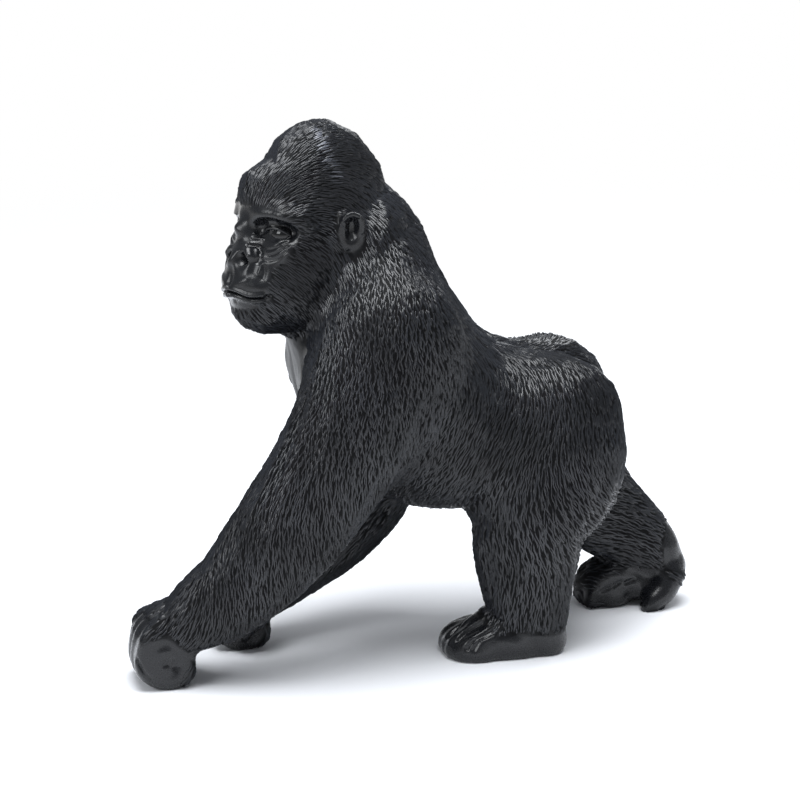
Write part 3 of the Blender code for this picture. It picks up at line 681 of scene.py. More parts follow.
def bare_mask(points, inset=0.0):
    """1 on all bare skin; the face shrinks by the inset."""
    mask = np.maximum(face_mask(points, inset), ear_mask(points))
    mask = np.maximum(mask, chest_mask(points))
    for at, size in BARE_BALLS.values():
        mask = np.maximum(mask, ball_mask(points, at, size))
    return mask


print("bare share of the skin:", round(float(bare_mask(read_points(skin.data)).mean()), 3))

# %% Split the squares where detail is needed
SHARE_UNDER_FUR = 0.15
MASK_EDGE = 0.02
DETAIL_ROUNDS = 3


def coarsen_under_fur(piece, share):
    """Fewer faces where fur will cover them."""
    keep = piece.vertex_groups.new(name="bare")
    bare = bare_mask(read_points(piece.data))
    keep.add([int(i) for i in np.nonzero(bare > MASK_EDGE)[0]], 1.0, "REPLACE")
    thin = piece.modifiers.new("thin", "DECIMATE")
    thin.vertex_group = keep.name
    thin.invert_vertex_group = True
    thin.ratio = share
    settle(piece)
    piece.vertex_groups.clear()


def split_where(piece, chosen):
    """Splits each face whose corners are all chosen into four."""
    work = bmesh.new()
    work.from_mesh(piece.data)
    work.verts.ensure_lookup_table()
    edges = [e for e in work.edges if chosen[e.verts[0].index] and chosen[e.verts[1].index]]
    bmesh.ops.subdivide_edges(work, edges=edges, cuts=1, use_grid_fill=True)
    work.to_mesh(piece.data)
    work.free()
    piece.data.update()


coarsen_under_fur(skin, SHARE_UNDER_FUR)
for mask_of in (bare_mask, face_mask):
    split_where(skin, mask_of(read_points(skin.data)) > MASK_EDGE)
    relax(skin.data, DETAIL_ROUNDS, mask_of(read_points(skin.data)))
skin.data.calc_loop_triangles()
print("skin triangles:", len(skin.data.loop_triangles))

# %% [markdown]
# ## Working the face
#
# The marks of the face are given as the sculptor sees them from the front: `left` and `up`, in
# millimetres. Each is thrown back on to the skin along the head's own forward axis. A crease presses the
# skin in along a smooth line through its marks, and a negative depth raises a fold instead. A bump map
# could draw the same lines, but it leaves the outline smooth and is lost when the figure is copied as a
# plain mesh.

# %% Creases and folds
CREASES = [
    {"marks": [(5.6, 2.6), (9.0, 4.6), (12.8, 4.2), (15.6, 1.8)], "width": 2.5, "depth": 1.9},
    {"marks": [(7.2, -3.4), (10.4, -4.4), (13.7, -3.6), (16.4, -1.0)], "width": 0.7, "depth": 0.7},
    {"marks": [(8.6, -5.6), (12.0, -6.2), (15.0, -5.2), (17.3, -2.6)], "width": 0.7, "depth": 0.7},
    {"marks": [(9.8, -7.8), (12.6, -8.0), (15.2, -7.2), (17.4, -4.8)], "width": 0.7, "depth": 0.55},
    {"marks": [(4.2, 0.8), (6.6, 0.4)], "width": 0.5, "depth": -0.5},
    {"marks": [(4.3, -0.8), (6.8, -1.1)], "width": 0.5, "depth": -0.5},
    {"marks": [(4.5, -2.4), (7.0, -2.6)], "width": 0.5, "depth": -0.45},
    {"marks": [(5.2, -4.6), (6.6, -6.4)], "width": 1.7, "depth": -0.8},
    {"marks": [(4.4, -2.9), (7.2, -3.6), (8.9, -6.2), (9.0, -8.6)], "width": 0.8, "depth": 0.8},
    {"marks": [(8.2, -9.2), (8.4, -12.0)], "width": 1.8, "depth": 0.6},
    {"marks": [(9.6, -8.0), (11.2, -11.3), (11.2, -14.3)], "width": 1.0, "depth": 0.45},
    {"marks": [(10.3, -9.6), (9.9, -12.6)], "width": 0.6, "depth": -0.3},
    {"marks": [(2.2, -17.0), (4.6, -16.2), (7.2, -14.8)], "width": 1.3, "depth": -0.4},
    {"marks": [(0.0, -19.4), (3.3, -20.0), (6.0, -20.9), (8.1, -21.5), (10.2, -21.6), (12.9, -20.8)],
     "width": 0.45, "depth": 0.9},
    {"marks": [(0.0, -18.1), (4.0, -18.7), (8.0, -20.2), (11.5, -20.3)], "width": 0.9, "depth": -0.9},
    {"marks": [(0.0, -20.7), (4.0, -21.3), (8.0, -22.8), (11.0, -22.7)], "width": 0.9, "depth": -0.9},
    {"marks": [(0.0, -23.4), (4.5, -23.9), (8.6, -24.6)], "width": 1.1, "depth": 0.5},
    {"marks": [(0.0, -11.0), (0.0, -13.5), (0.0, -16.0)], "width": 1.3, "depth": 0.35},
]
NOSTRILS = [{"marks": [(3.3, -7.2), (4.3, -8.2)], "width": 1.5, "depth": 3.4}]
BEFORE_FACE = 60.0


def catmull(rows, steps):
    """Rows of numbers joined by a smooth curve, steps rows to each gap."""
    p = np.array(rows, dtype=float)
    ends = np.vstack([2 * p[0] - p[1], p, 2 * p[-1] - p[-2]])
    t = (np.arange(steps) / steps)[:, None]
    out = []
    for a, b, c, d in zip(ends, ends[1:], ends[2:], ends[3:]):
        out.append(0.5 * (2 * b + (c - a) * t + (2 * a - 5 * b + 4 * c - d) * t * t
                          + (3 * b - a - 3 * c + d) * t ** 3))
    return np.vstack(out + [p[-1:]])


def on_face(tree, left, up):
    """Where a mark seen from the front of the head meets the skin, in millimetres."""
    start = on_head((BEFORE_FACE, left, up)) * MM
    place, _, _, _ = tree.ray_cast(start, -FORE)
    return np.array(place) / MM


def distance_to(points, path):
    """The distance of each point to a line of straight pieces."""
    best = np.full(len(points), 1e9)
    for a, b in zip(path[:-1], path[1:]):
        way = b - a
        t = np.clip(((points - a) @ way) / max(way @ way, 1e-9), 0, 1)
        best = np.minimum(best, np.linalg.norm(points - (a + t[:, None] * way), axis=1))
    return best


def press(mesh, path, width, depth, way=None):
    """A groove of bell-shaped section along the path; a negative depth raises a fold."""
    points = read_points(mesh)
    amount = np.exp(-(distance_to(points, path) / width) ** 2) * depth
    direction = -normals_of(mesh) if way is None else np.array(way)
    write_points(mesh, points + direction * amount[:, None])


def carve_face(piece):
    """All creases, folds and nostrils, first on the left of the face and then on the right."""
    for side_of in (1, -1):
        tree = tree_of(piece)
        for one in CREASES:
            path = np.array([on_face(tree, side_of * left, up) for left, up in catmull(one["marks"], 4)])
            press(piece.data, path, one["width"], one["depth"])
        for one in NOSTRILS:
            path = np.array([on_face(tree, side_of * left, up) for left, up in one["marks"]])
            press(piece.data, path, one["width"], one["depth"], -FORE)


carve_face(skin)
print("creases on each side of the face:", len(CREASES))

# %% [markdown]
# ## Working the hand and the feet
#
# The near fist is curled, so its side is a soft cushion with one shallow hollow. First the skin there is
# rubbed flat, and then the hollow is pressed in, away from the camera. The toes are parted by fine
# grooves, and the folded far foot has three short creases. Their marks are pixels of the picture, as they
# were read off it, and widths and depths are in millimetres.

# %% Fist, toes and far foot
HAND_AND_FOOT = [
    {"pixels": [(499, 626), (487, 633), (473, 641), (467, 649)], "width": 0.8, "depth": 1.0},
    {"pixels": [(482, 623), (466, 633), (458, 641)], "width": 0.8, "depth": 1.0},
    {"pixels": [(470, 616), (458, 626), (450, 636)], "width": 0.8, "depth": 0.9},
    {"pixels": [(492, 633), (480, 641), (474, 650)], "width": 0.8, "depth": 0.9},
    {"pixels": [(137, 660), (142, 670), (150, 679)], "width": 0.8, "depth": 0.8},
    {"pixels": [(602, 592), (609, 588)], "width": 0.8, "depth": 0.7},
    {"pixels": [(614, 586), (620, 582)], "width": 0.8, "depth": 0.7},
    {"pixels": [(626, 583), (633, 580)], "width": 0.8, "depth": 0.7},
]
FIST_HOLLOW = {"pixels": [(167, 663), (170, 664), (173, 665)], "width": 2.6, "depth": 1.6}
FIST_SIDE = {"pixel": (166, 658), "reach": 6.0, "rounds": 14}
RUB_STEP = 0.6


def soften(mesh, tree, pixel, reach, rounds):
    """Rubs the skin near a pixel flat."""
    points = read_points(mesh)
    near = np.exp(-(((points - mark_under(tree, pixel)) ** 2).sum(1) / reach ** 2) ** 2)[:, None]
    for _ in range(rounds):
        points = points + (neighbour_mean(mesh, points) - points) * near * RUB_STEP
    write_points(mesh, points)


def press_pixels(mesh, tree, pixels, width, depth, way=None):
    """A groove through places given as pixels of the picture."""
    press(mesh, catmull([mark_under(tree, pixel) for pixel in pixels], 3), width, depth, way)


soften(skin.data, tree_of(skin), **FIST_SIDE)
SOFT_TREE = tree_of(skin)
press_pixels(skin.data, SOFT_TREE, way=-back, **FIST_HOLLOW)
for one in HAND_AND_FOOT:
    press_pixels(skin.data, SOFT_TREE, **one)
print("grooves of the hand and feet:", len(HAND_AND_FOOT))

# %% [markdown]
# ## Eyes
#
# Each eye is a polished ball in the socket, and two lids close over it. The lids could be pressed out of
# the skin too, but a real sculptor lays them on: a lid is a cord of clay that thins out towards the
# corners of the eye, and a curve with a radius at each point makes just that.

# %% Eyeballs and lids
EYE = {"at": (19.4, 10.0, 0.4), "radii": (4.6, 5.0, 3.9)}
LIDS = {
    "upper_lid": [(23.7, 5.4, -0.8, 0.30), (24.3, 7.2, 1.9, 0.55), (23.9, 9.8, 3.0, 0.65),
                  (22.3, 12.8, 2.5, 0.60), (19.8, 15.8, 0.2, 0.30)],
    "lower_lid": [(23.7, 5.4, -0.9, 0.30), (23.9, 7.6, -2.1, 0.50), (23.4, 10.2, -2.6, 0.60),
                  (21.8, 13.0, -1.9, 0.55), (19.8, 15.8, 0.0, 0.30)],
}


def add_piece(name, mesh, material):
    """A piece that rides on the figure, with the given material."""
    piece = bpy.data.objects.new(name, mesh)
    bpy.context.scene.collection.objects.link(piece)
    mesh.materials.append(material)
    mesh.shade_smooth()
    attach(piece, "root")
    return piece


def eyeball(name, side_of):
    """A ball squashed to the eye's three radii, in the head's axes."""
    work = bmesh.new()
    bmesh.ops.create_uvsphere(work, u_segments=32, v_segments=24, radius=MM)
    f, l, u = EYE["at"]
    axes = Matrix((FORE, LEFT * side_of, CROWN)).transposed().to_4x4()
    work.transform(Matrix.Translation(on_head((f, side_of * l, u)) * MM) @ axes
                   @ Matrix.Diagonal((*EYE["radii"], 1.0)))
    bmesh.ops.recalc_face_normals(work, faces=work.faces)
    mesh = bpy.data.meshes.new(name)
    work.to_mesh(mesh)
    work.free()
    return add_piece(name, mesh, EYE_RESIN)


def lid(name, rows, side_of):
    """A cord along the rows: forward, left, up and radius."""
    curve = bpy.data.curves.new(name, "CURVE")
    curve.dimensions = "3D"
    curve.bevel_depth = MM
    curve.bevel_resolution = 4
    curve.use_fill_caps = True
    rows = catmull(rows, 6)
    spline = curve.splines.new("POLY")
    spline.points.add(len(rows) - 1)
    for point, (f, l, u, radius) in zip(spline.points, rows):
        point.co = (*(on_head((f, side_of * l, u)) * MM), 1.0)
        point.radius = radius
    holder = bpy.data.objects.new(name, curve)
    mesh = bpy.data.meshes.new_from_object(holder)
    bpy.data.objects.remove(holder)
    return add_piece(name, mesh, SKIN_RESIN)


for eye_side, sign in (("left", 1), ("right", -1)):
    eyeball("eyeball_" + eye_side, sign)
    for lid_name, lid_rows in LIDS.items():
        piece = lid(lid_name + "_" + eye_side, lid_rows, sign)
        set_mask(piece.data, "bare", np.ones(len(piece.data.vertices)))
print("eyes and lids on each side:", 1 + len(LIDS))

# %% Finish the skin piece
write_points(skin.data, stand(read_points(skin.data)))
finished = read_points(skin.data)
dulled = 1.0 - (1.0 - CHEST_SHINE) * chest_mask(finished)
set_mask(skin.data, "bare", bare_mask(finished) * dulled)
# The skin's crest mask is 0, so under the fur it takes the painted shade black of the hollows.
set_mask(skin.data, "crest", np.zeros(len(skin.data.vertices)))
skin.data.materials.append(SKIN_RESIN)
skin.data.shade_smooth()
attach(skin, "root")
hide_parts("gorilla")
print("bare points:", int((bare_mask(finished) > MASK_EDGE).sum()))

# %% [markdown]
# ## Which way the hair grows
#
# Every lock follows its neighbours, so the carver's strokes turn slowly over the body. One rule, such as
# all hair down, would be short, but it misses the swirl on the crown and the sweep over the shoulder. A
# few combed lines are enough to say how the hair lies everywhere. Each goes from root to tip as the
# photograph shows it, in the picture's pixels. The camera throws it on to the skin, and a point between
# lines takes a blend of the nearest ones. The far side isn't in the picture, so the lines of the head and
# trunk are mirrored, and the limbs there are combed downwards.

# %% Combed lines of the head
COMB_HEAD = [
    ((243, 206), (245, 188)), ((250, 207), (255, 184)), ((262, 207), (268, 197)), ((262, 186), (268, 176)),
    ((252, 178), (258, 168)), ((275, 205), (283, 195)), ((272, 190), (280, 180)), ((285, 208), (295, 200)),
    ((283, 180), (290, 174)), ((290, 190), (300, 183)), ((270, 165), (280, 156)), ((283, 146), (286, 138)),
    ((290, 150), (297, 143)), ((276, 150), (282, 142)), ((300, 148), (308, 142)), ((297, 133), (304, 129)),
    ((313, 140), (322, 136)), ((320, 147), (330, 143)), ((322, 158), (330, 154)), ((310, 124), (320, 123)),
    ((330, 128), (342, 129)), ((300, 175), (310, 172)), ((300, 200), (312, 197)), ((290, 215), (300, 212)),
    ((291, 223), (303, 221)), ((330, 162), (345, 163)), ((330, 140), (345, 141)), ((350, 145), (360, 149)),
    ((350, 165), (362, 167)), ((372, 178), (382, 184)), ((320, 180), (334, 180)), ((335, 195), (350, 194)),
    ((325, 212), (335, 212)), ((310, 210), (322, 208)), ((360, 193), (370, 198)), ((370, 200), (377, 207)),
    ((298, 240), (309, 245)), ((293, 252), (303, 258)), ((284, 262), (294, 268)), ((276, 272), (286, 279)),
    ((274, 285), (283, 291)), ((272, 298), (281, 305)), ((255, 306), (262, 313)), ((240, 303), (245, 310)),
    ((262, 316), (270, 322)), ((285, 300), (293, 306)), ((290, 280), (300, 286)), ((305, 262), (314, 269)),
    ((318, 240), (328, 246)), ((305, 228), (317, 230)), ((322, 225), (332, 228)), ((300, 315), (308, 322)),
    ((315, 290), (323, 297)), ((325, 265), (332, 273)),
]
print("combed lines of the head:", len(COMB_HEAD))

# %% Combed lines of the trunk
COMB_TRUNK = [
    ((363, 218), (369, 226)), ((375, 222), (382, 231)), ((378, 240), (383, 250)), ((365, 245), (370, 255)),
    ((360, 265), (364, 275)), ((345, 290), (350, 299)), ((392, 262), (394, 273)), ((395, 197), (402, 205)),
    ((403, 232), (412, 239)), ((412, 245), (420, 252)), ((420, 268), (424, 278)), ((440, 275), (446, 285)),
    ((400, 290), (400, 302)), ((375, 290), (376, 302)), ((350, 315), (350, 327)), ((425, 300), (428, 312)),
    ((452, 310), (458, 320)), ((445, 330), (448, 342)), ((468, 330), (476, 339)), ((480, 345), (488, 353)),
    ((495, 340), (507, 344)), ((515, 365), (521, 374)), ((540, 362), (547, 371)), ((545, 380), (550, 390)),
    ((560, 372), (566, 383)), ((580, 382), (584, 393)), ((600, 375), (607, 386)), ((612, 395), (616, 407)),
    ((560, 410), (561, 422)), ((585, 415), (586, 427)), ((620, 430), (621, 443)), ((600, 440), (600, 452)),
    ((530, 400), (529, 411)), ((500, 395), (497, 405)), ((470, 370), (475, 380)), ((455, 365), (458, 376)),
    ((470, 400), (467, 410)), ((440, 400), (438, 411)), ((500, 425), (496, 436)), ((520, 440), (514, 450)),
    ((540, 440), (535, 450)), ((470, 430), (465, 440)), ((450, 440), (445, 450)), ((430, 440), (426, 450)),
    ((440, 470), (434, 479)), ((480, 460), (474, 470)), ((460, 485), (454, 493)), ((400, 400), (400, 412)),
    ((370, 370), (370, 382)), ((340, 350), (341, 362)), ((320, 340), (320, 350)), ((322, 375), (320, 386)),
    ((310, 400), (306, 410)), ((330, 400), (329, 412)), ((400, 340), (401, 352)), ((395, 430), (394, 442)),
]
print("combed lines of the trunk:", len(COMB_TRUNK))

# %% Combed lines of the limbs
COMB_LIMBS = [
    ((300, 418), (296, 428)), ((330, 440), (329, 452)), ((360, 450), (360, 462)), ((390, 460), (388, 472)),
    ((285, 465), (280, 475)), ((275, 495), (269, 505)), ((250, 505), (245, 515)), ((235, 530), (232, 541)),
    ((270, 530), (270, 542)), ((310, 500), (310, 512)), ((345, 500), (345, 512)), ((375, 490), (373, 501)),
    ((330, 545), (331, 556)), ((285, 565), (286, 576)), ((250, 560), (250, 572)), ((225, 560), (224, 571)),
    ((220, 590), (222, 601)), ((205, 600), (208, 611)), ((250, 595), (252, 606)), ((190, 600), (186, 609)),
    ((178, 603), (170, 611)), ((185, 625), (176, 632)), ((165, 625), (156, 633)), ((212, 622), (212, 632)),
    ((560, 480), (566, 490)), ((590, 480), (595, 491)), ((520, 480), (516, 490)), ((500, 500), (497, 511)),
    ((535, 500), (533, 511)), ((570, 505), (576, 514)), ((495, 530), (498, 541)), ((520, 535), (522, 546)),
    ((550, 530), (556, 540)), ((575, 540), (580, 549)), ((500, 560), (502, 571)), ((530, 565), (532, 576)),
    ((560, 570), (563, 581)), ((500, 590), (500, 600)), ((530, 595), (528, 606)), ((560, 600), (558, 610)),
    ((385, 505), (377, 515)), ((370, 530), (362, 540)), ((350, 555), (342, 564)),
    ((600, 520), (613, 519)), ((590, 535), (603, 535)), ((625, 535), (638, 537)), ((640, 515), (650, 521)),
    ((655, 535), (663, 542)), ((600, 550), (612, 552)),
]
print("combed lines of the limbs:", len(COMB_LIMBS))

# %% Growth of the hair
HEAD_SPREAD = 5.5
BODY_SPREAD = 9.0
DOWN = np.array([0.25, 0.0, -1.0])
DOWN_SHARE = 1e-4
ROUND_THE_EDGE = 0.25
LEAST_SHARE = 0.02
SKIN_TREE = tree_of(skin)


def comb_from(lines, spread, mirror):
    """Rows of place, growth, normal and spread for the combed lines, with their mirrored copies."""
    rows = []
    for root, tip in lines:
        (at, facing), (end, _) = thrown(SKIN_TREE, *root), thrown(SKIN_TREE, *tip)
        growth = (end - at).normalized()
        copies = [(at / MM, growth, facing)]
        if mirror:
            copies.append(mirror(at / MM, growth, facing))
        rows += [(*place, *way, *normal, spread) for place, way, normal in copies]
    return rows


def mirror_head(place, growth, facing):
    """Across the plane through the middle of the head."""
    def flip(v):
        return v - LEFT * (2.0 * v.dot(LEFT))
    return HEAD_AT + flip(place - HEAD_AT), flip(growth), flip(facing)


def mirror_trunk(place, growth, facing):
    """Across the plane through the spine."""
    def flip(v):
        return Vector((v.x, -v.y, v.z))
    return flip(place), flip(growth), flip(facing)


COMB = np.array(comb_from(COMB_HEAD, HEAD_SPREAD, mirror_head)
                + comb_from(COMB_TRUNK, BODY_SPREAD, mirror_trunk)
                + comb_from(COMB_LIMBS, BODY_SPREAD, None))
print("combed lines on the skin:", len(COMB))


def growth_at(points, normals):
    """The way the hair lies at each point, along the surface."""
    total = np.tile(DOWN * DOWN_SHARE, (len(points), 1))
    for row in COMB:
        place, growth, facing, spread = row[:3], row[3:6], row[6:9], row[9]
        near = np.exp(-((points - place) ** 2).sum(1) / (2.0 * spread ** 2))
        same_side = np.clip(normals @ facing + ROUND_THE_EDGE, LEAST_SHARE, None)
        total += (near * same_side)[:, None] * growth
    along = total - (total * normals).sum(1, keepdims=True) * normals
    return along / np.maximum(np.linalg.norm(along, axis=1, keepdims=True), 1e-9)


# %% [markdown]
# ## One lock of fur
#
# A carved lock is a low ridge with a pointed tip. Its section is a roof with both feet sunk below the
# skin, so that smooth shading rounds it and no edge floats. Thousands of them are made at once: the same
# sum is done on arrays that hold every lock. Particle hair would be quicker to set up, but it makes
# round threads that stand off the body, and a casting has ridges that are one with it.

# %% Locks as geometry
LOCK_POINTS = 6
ROOT_TO_TIP = np.linspace(0.0, 1.0, LOCK_POINTS)
WIDTH_SHAPE = np.array([0.0, 0.75, 1.0, 0.95, 0.66, 0.0])
HEIGHT_SHAPE = np.array([-0.10, 0.50, 0.85, 1.0, 0.90, 0.10])
SUNK = 0.22
SHEET_EDGE = 0.08
WAVE_TURN = 1.25
# How much of the parting's painted highlight reaches the feet of a lock.
FOOT_HIGHLIGHT = 0.6


def scatter(piece, count, rng):
    """Random points spread evenly over a mesh by area, with the face normals."""
    mesh = piece.data
    mesh.calc_loop_triangles()
    corners = np.empty(len(mesh.loop_triangles) * 3, dtype=np.int64)
    mesh.loop_triangles.foreach_get("vertices", corners)
    corners = corners.reshape(-1, 3)
    points = read_points(mesh)
    a, b, c = (points[corners[:, i]] for i in range(3))
    cross = np.cross(b - a, c - a)
    area = np.linalg.norm(cross, axis=1)
    pick = rng.choice(len(area), count, p=area / area.sum())
    u, v = rng.random((2, count))
    over = u + v > 1.0
    u[over], v[over] = 1.0 - u[over], 1.0 - v[over]
    places = a[pick] + (b - a)[pick] * u[:, None] + (c - a)[pick] * v[:, None]
    print("skin area, square mm:", round(area.sum() / 2))
    return places, cross[pick] / area[pick][:, None]


def thin_out(points, growth, normals, length, width):
    """Keeps points that lie at least one lock apart: far apart along the hair, close across it."""
    across = np.cross(normals, growth)
    tree = KDTree(len(points))
    for index, place in enumerate(points):
        tree.insert(place, index)
    tree.balance()
    alive = np.ones(len(points), dtype=bool)
    for index in range(len(points)):
        if not alive[index]:
            continue
        found = tree.find_range(points[index], length[index])
        others = np.array([item[1] for item in found])
        gap = points[others] - points[index]
        ahead = (gap @ growth[index]) / length[index]
        beside = (gap @ across[index]) / width[index]
        close = (ahead ** 2 + beside ** 2 < 1.0) & (normals[others] @ normals[index] > 0.0)
        alive[others[close & (others > index)]] = False
    return alive


def trace(points, length, wave, phase):
    """Walks every lock from its root over the skin, and returns its points, sides and normals."""
    places, sides, ups = [], [], []
    here = points.copy()
    step = (length / (LOCK_POINTS - 1))[:, None]
    for part in range(LOCK_POINTS):
        normals = np.empty_like(here)
        for index, place in enumerate(here):
            hit, normal, _, _ = SKIN_TREE.find_nearest(place * MM)
            here[index] = np.array(hit) / MM
            normals[index] = normal
        growth = growth_at(here, normals)
        across = np.cross(normals, growth)
        swing = (np.sin(phase + part * WAVE_TURN) * wave)[:, None]
        places.append(here.copy())
        sides.append(across)
        ups.append(normals)
        way = growth + across * swing
        here = here + way / np.linalg.norm(way, axis=1, keepdims=True) * step
    return np.array(places), np.array(sides), np.array(ups)


def lock_sheets(mesh, count, per_lock):
    """A texture map for baking: each lock, laid flat, has one cell of a square grid."""
    cells = math.ceil(math.sqrt(count))
    across = np.tile([0.0, 0.5, 1.0], LOCK_POINTS - 2)
    along = np.repeat(ROOT_TO_TIP[1:-1], 3)
    flat = np.empty((per_lock, 2))
    flat[0] = (0.5, 0.0)
    flat[-1] = (0.5, 1.0)
    flat[1:-1, 0] = across
    flat[1:-1, 1] = along
    index = np.arange(count)
    corner = np.stack([index % cells, index // cells], axis=1)
    sheets = (corner[:, None, :] + SHEET_EDGE + flat[None] * (1.0 - 2.0 * SHEET_EDGE)) / cells
    layer = mesh.uv_layers.new(name="OFBake")
    vertex_of = np.empty(len(mesh.loops), dtype=np.int64)
    mesh.loops.foreach_get("vertex_index", vertex_of)
    layer.data.foreach_set("uv", sheets.reshape(-1, 2)[vertex_of].ravel().astype(np.float32))


def locks_mesh(name, places, sides, ups, width, height, highlight_weight):
    """Builds every lock as a ridge: a point at each end and a roof of two slopes between."""
    count = places.shape[1]
    inner = LOCK_POINTS - 2
    per_lock = 2 + inner * 3
    half = WIDTH_SHAPE[:, None, None] * width[None, :, None] / 2.0
    rise = HEIGHT_SHAPE[:, None, None] * height[None, :, None]
    foot = places - ups * SUNK
    crest = places + ups * rise
    points = np.empty((count, per_lock, 3))
    points[:, 0] = crest[0] - ups[0] * SUNK * 0.5
    points[:, -1] = crest[-1] - ups[-1] * 0.05
    for row in range(inner):
        points[:, 1 + row * 3] = foot[row + 1] - sides[row + 1] * half[row + 1]
        points[:, 2 + row * 3] = crest[row + 1]
        points[:, 3 + row * 3] = foot[row + 1] + sides[row + 1] * half[row + 1]
    faces = [(0, 2, 1), (0, 3, 2)]
    for row in range(inner - 1):
        a, b = 1 + row * 3, 4 + row * 3
        for edge in (0, 1):
            faces += [(a + edge, a + edge + 1, b + edge + 1), (a + edge, b + edge + 1, b + edge)]
    last, end = 1 + (inner - 1) * 3, per_lock - 1
    faces += [(last, last + 1, end), (last + 1, last + 2, end)]
    faces = np.array(faces)
    all_faces = (faces[None] + (np.arange(count) * per_lock)[:, None, None]).reshape(-1, 3)
    mesh = bpy.data.meshes.new(name)
    mesh.vertices.add(count * per_lock)
    mesh.vertices.foreach_set("co", (stand(points) * MM).ravel())
    mesh.loops.add(all_faces.size)
    mesh.loops.foreach_set("vertex_index", all_faces.ravel().astype(np.int32))
    mesh.polygons.add(len(all_faces))
    mesh.polygons.foreach_set("loop_start", np.arange(0, all_faces.size, 3, dtype=np.int32))
    mesh.update(calc_edges=True)
    mesh.validate()
    # Crests get the painted highlight and feet the painted shade; along the parting the whole lock, feet
    # too, is painted brighter as a painted highlight.
    crest_of = np.zeros((count, per_lock)) + highlight_weight[:, None] * FOOT_HIGHLIGHT
    crest_of[:, 2:per_lock - 1:3] = FULL_CREST + highlight_weight[:, None] * (1.0 - FULL_CREST)
    set_mask(mesh, "crest", crest_of.ravel())
    lock_sheets(mesh, count, per_lock)
    return mesh


print("points to a lock:", 2 + (LOCK_POINTS - 2) * 3)

# %% [markdown]
# ## Fur by region
#
# The locks differ over the body: fine and even on the head, short and wavy on the neck and shoulders,
# long on the rump, and coarse on the legs. One size for all would need no regions and look like cloth.
# Each region says how long, wide and high its locks are and how much they wave. Their roots are random
# points, thinned out until no two are closer than half a lock, and a fixed seed gives the same fur again.

# %% Regions
REGIONS = {
    "fur_head": {"length": 6.0, "width": 0.95, "height": 0.52, "wave": 0.10},
    "fur_shoulders": {"length": 5.8, "width": 1.05, "height": 0.62, "wave": 0.35},
    "fur_rump": {"length": 7.5, "width": 1.05, "height": 0.60, "wave": 0.20},
    "fur_arms": {"length": 6.8, "width": 1.00, "height": 0.60, "wave": 0.22},
    "fur_legs": {"length": 7.5, "width": 1.15, "height": 0.70, "wave": 0.28},
}
REGION_NAMES = list(REGIONS)
PARTING = [(308, 133), (313, 143), (318, 155), (323, 167), (328, 178)]
PARTING_REACH = 1.6
RUMP_FROM = 5.0
ARM_TOP = 88.0
ARM_BACK = -8.0
LEG_TOP = 72.0
LEG_FROM = 22.0
LEG_LEAN = 0.2
HEAD_BACK = -22.0
HEAD_SIDE = 27.0
HEAD_LOW = -34.0


def region_of(points):
    """The index of each point's region."""
    x, y, z = points.T
    f, l, u = in_head(points).T
    region = np.full(len(points), REGION_NAMES.index("fur_shoulders"))
    region[x > RUMP_FROM] = REGION_NAMES.index("fur_rump")
    region[(z < ARM_TOP) & (x < ARM_BACK)] = REGION_NAMES.index("fur_arms")
    region[(z < LEG_TOP) & (x > 0.0) & (x + z * LEG_LEAN > LEG_FROM)] = REGION_NAMES.index("fur_legs")
    region[(f > HEAD_BACK) & (np.abs(l) < HEAD_SIDE) & (u > HEAD_LOW)] = REGION_NAMES.index("fur_head")
    return region


def parting_highlight_at(points):
    """1 on the parting of the crown, where the hair of both sides meets; there the locks are painted bright
    as a painted highlight.
    """
    path = np.array([np.array(thrown(SKIN_TREE, *pixel)[0]) / MM for pixel in PARTING])
    return np.exp(-(distance_to(points, path) / PARTING_REACH) ** 2)


print("regions of fur:", ", ".join(REGION_NAMES))

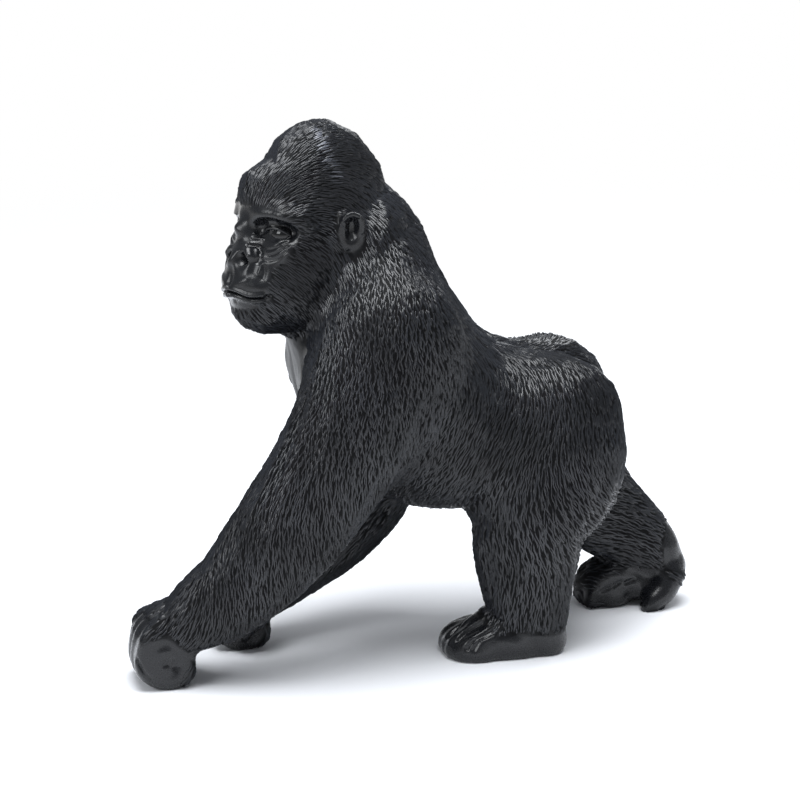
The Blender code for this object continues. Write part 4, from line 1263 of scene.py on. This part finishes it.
# %% Grow the fur
SEED = 7
CANDIDATES = 360000
ROOTS_INSIDE = 1.5
ROOTS_BARE = 0.35
ROOTS_ABOVE = 0.8
LENGTH_APART = 0.50
WIDTH_APART = 0.52
LENGTH_RANGE = (0.8, 1.25)
WIDTH_RANGE = (0.85, 1.15)
HEIGHT_RANGE = (0.65, 1.35)
SHORTER = (0.75, 0.5, 0.35)
BARE_EDGE = 0.5


def up_to_bare_skin(points, growth, length):
    """Shortens the locks that would run over bare skin, and says which ones still would."""
    fitted = length.copy()
    for share in SHORTER:
        over = bare_mask(points + growth * fitted[:, None]) > BARE_EDGE
        fitted[over] = length[over] * share
    return fitted, bare_mask(points + growth * fitted[:, None]) > BARE_EDGE


def grow_fur():
    """Sets the roots, sizes the locks, traces them over the skin and makes one piece for each region."""
    rng = np.random.default_rng(SEED)
    points, normals = scatter(skin, CANDIDATES, rng)
    furry = (bare_mask(points, ROOTS_INSIDE) < ROOTS_BARE) & (points[:, 2] > ROOTS_ABOVE)
    points, normals = points[furry], normals[furry]
    growth = growth_at(points, normals)
    region = region_of(points)
    sizes = {key: np.array([REGIONS[name][key] for name in REGION_NAMES])[region]
             for key in ("length", "width", "height", "wave")}
    kept = thin_out(points, growth, normals, sizes["length"] * LENGTH_APART, sizes["width"] * WIDTH_APART)
    points, normals, region = points[kept], normals[kept], region[kept]
    sizes = {key: values[kept] for key, values in sizes.items()}
    count = len(points)
    length = sizes["length"] * rng.uniform(*LENGTH_RANGE, count)
    length, over = up_to_bare_skin(points, growth[kept], length)
    width = sizes["width"] * rng.uniform(*WIDTH_RANGE, count)
    height = sizes["height"] * rng.uniform(*HEIGHT_RANGE, count)
    phase = rng.uniform(0.0, 2.0 * math.pi, count)
    places, sides, ups = trace(points, length, sizes["wave"], phase)
    # Weight of the painted highlight on the parting.
    highlight_weight = parting_highlight_at(points)
    for index, region_name in enumerate(REGION_NAMES):
        for side_name, on_side in (("left", points[:, 1] <= 0.0), ("right", points[:, 1] > 0.0)):
            mine = (region == index) & on_side & ~over
            name = region_name + "_" + side_name
            mesh = locks_mesh(name, places[:, mine], sides[:, mine], ups[:, mine],
                              width[mine], height[mine], highlight_weight[mine])
            add_piece(name, mesh, FUR_RESIN)
            print(name, "locks:", int(mine.sum()), "triangles:", len(mesh.polygons))


grow_fur()
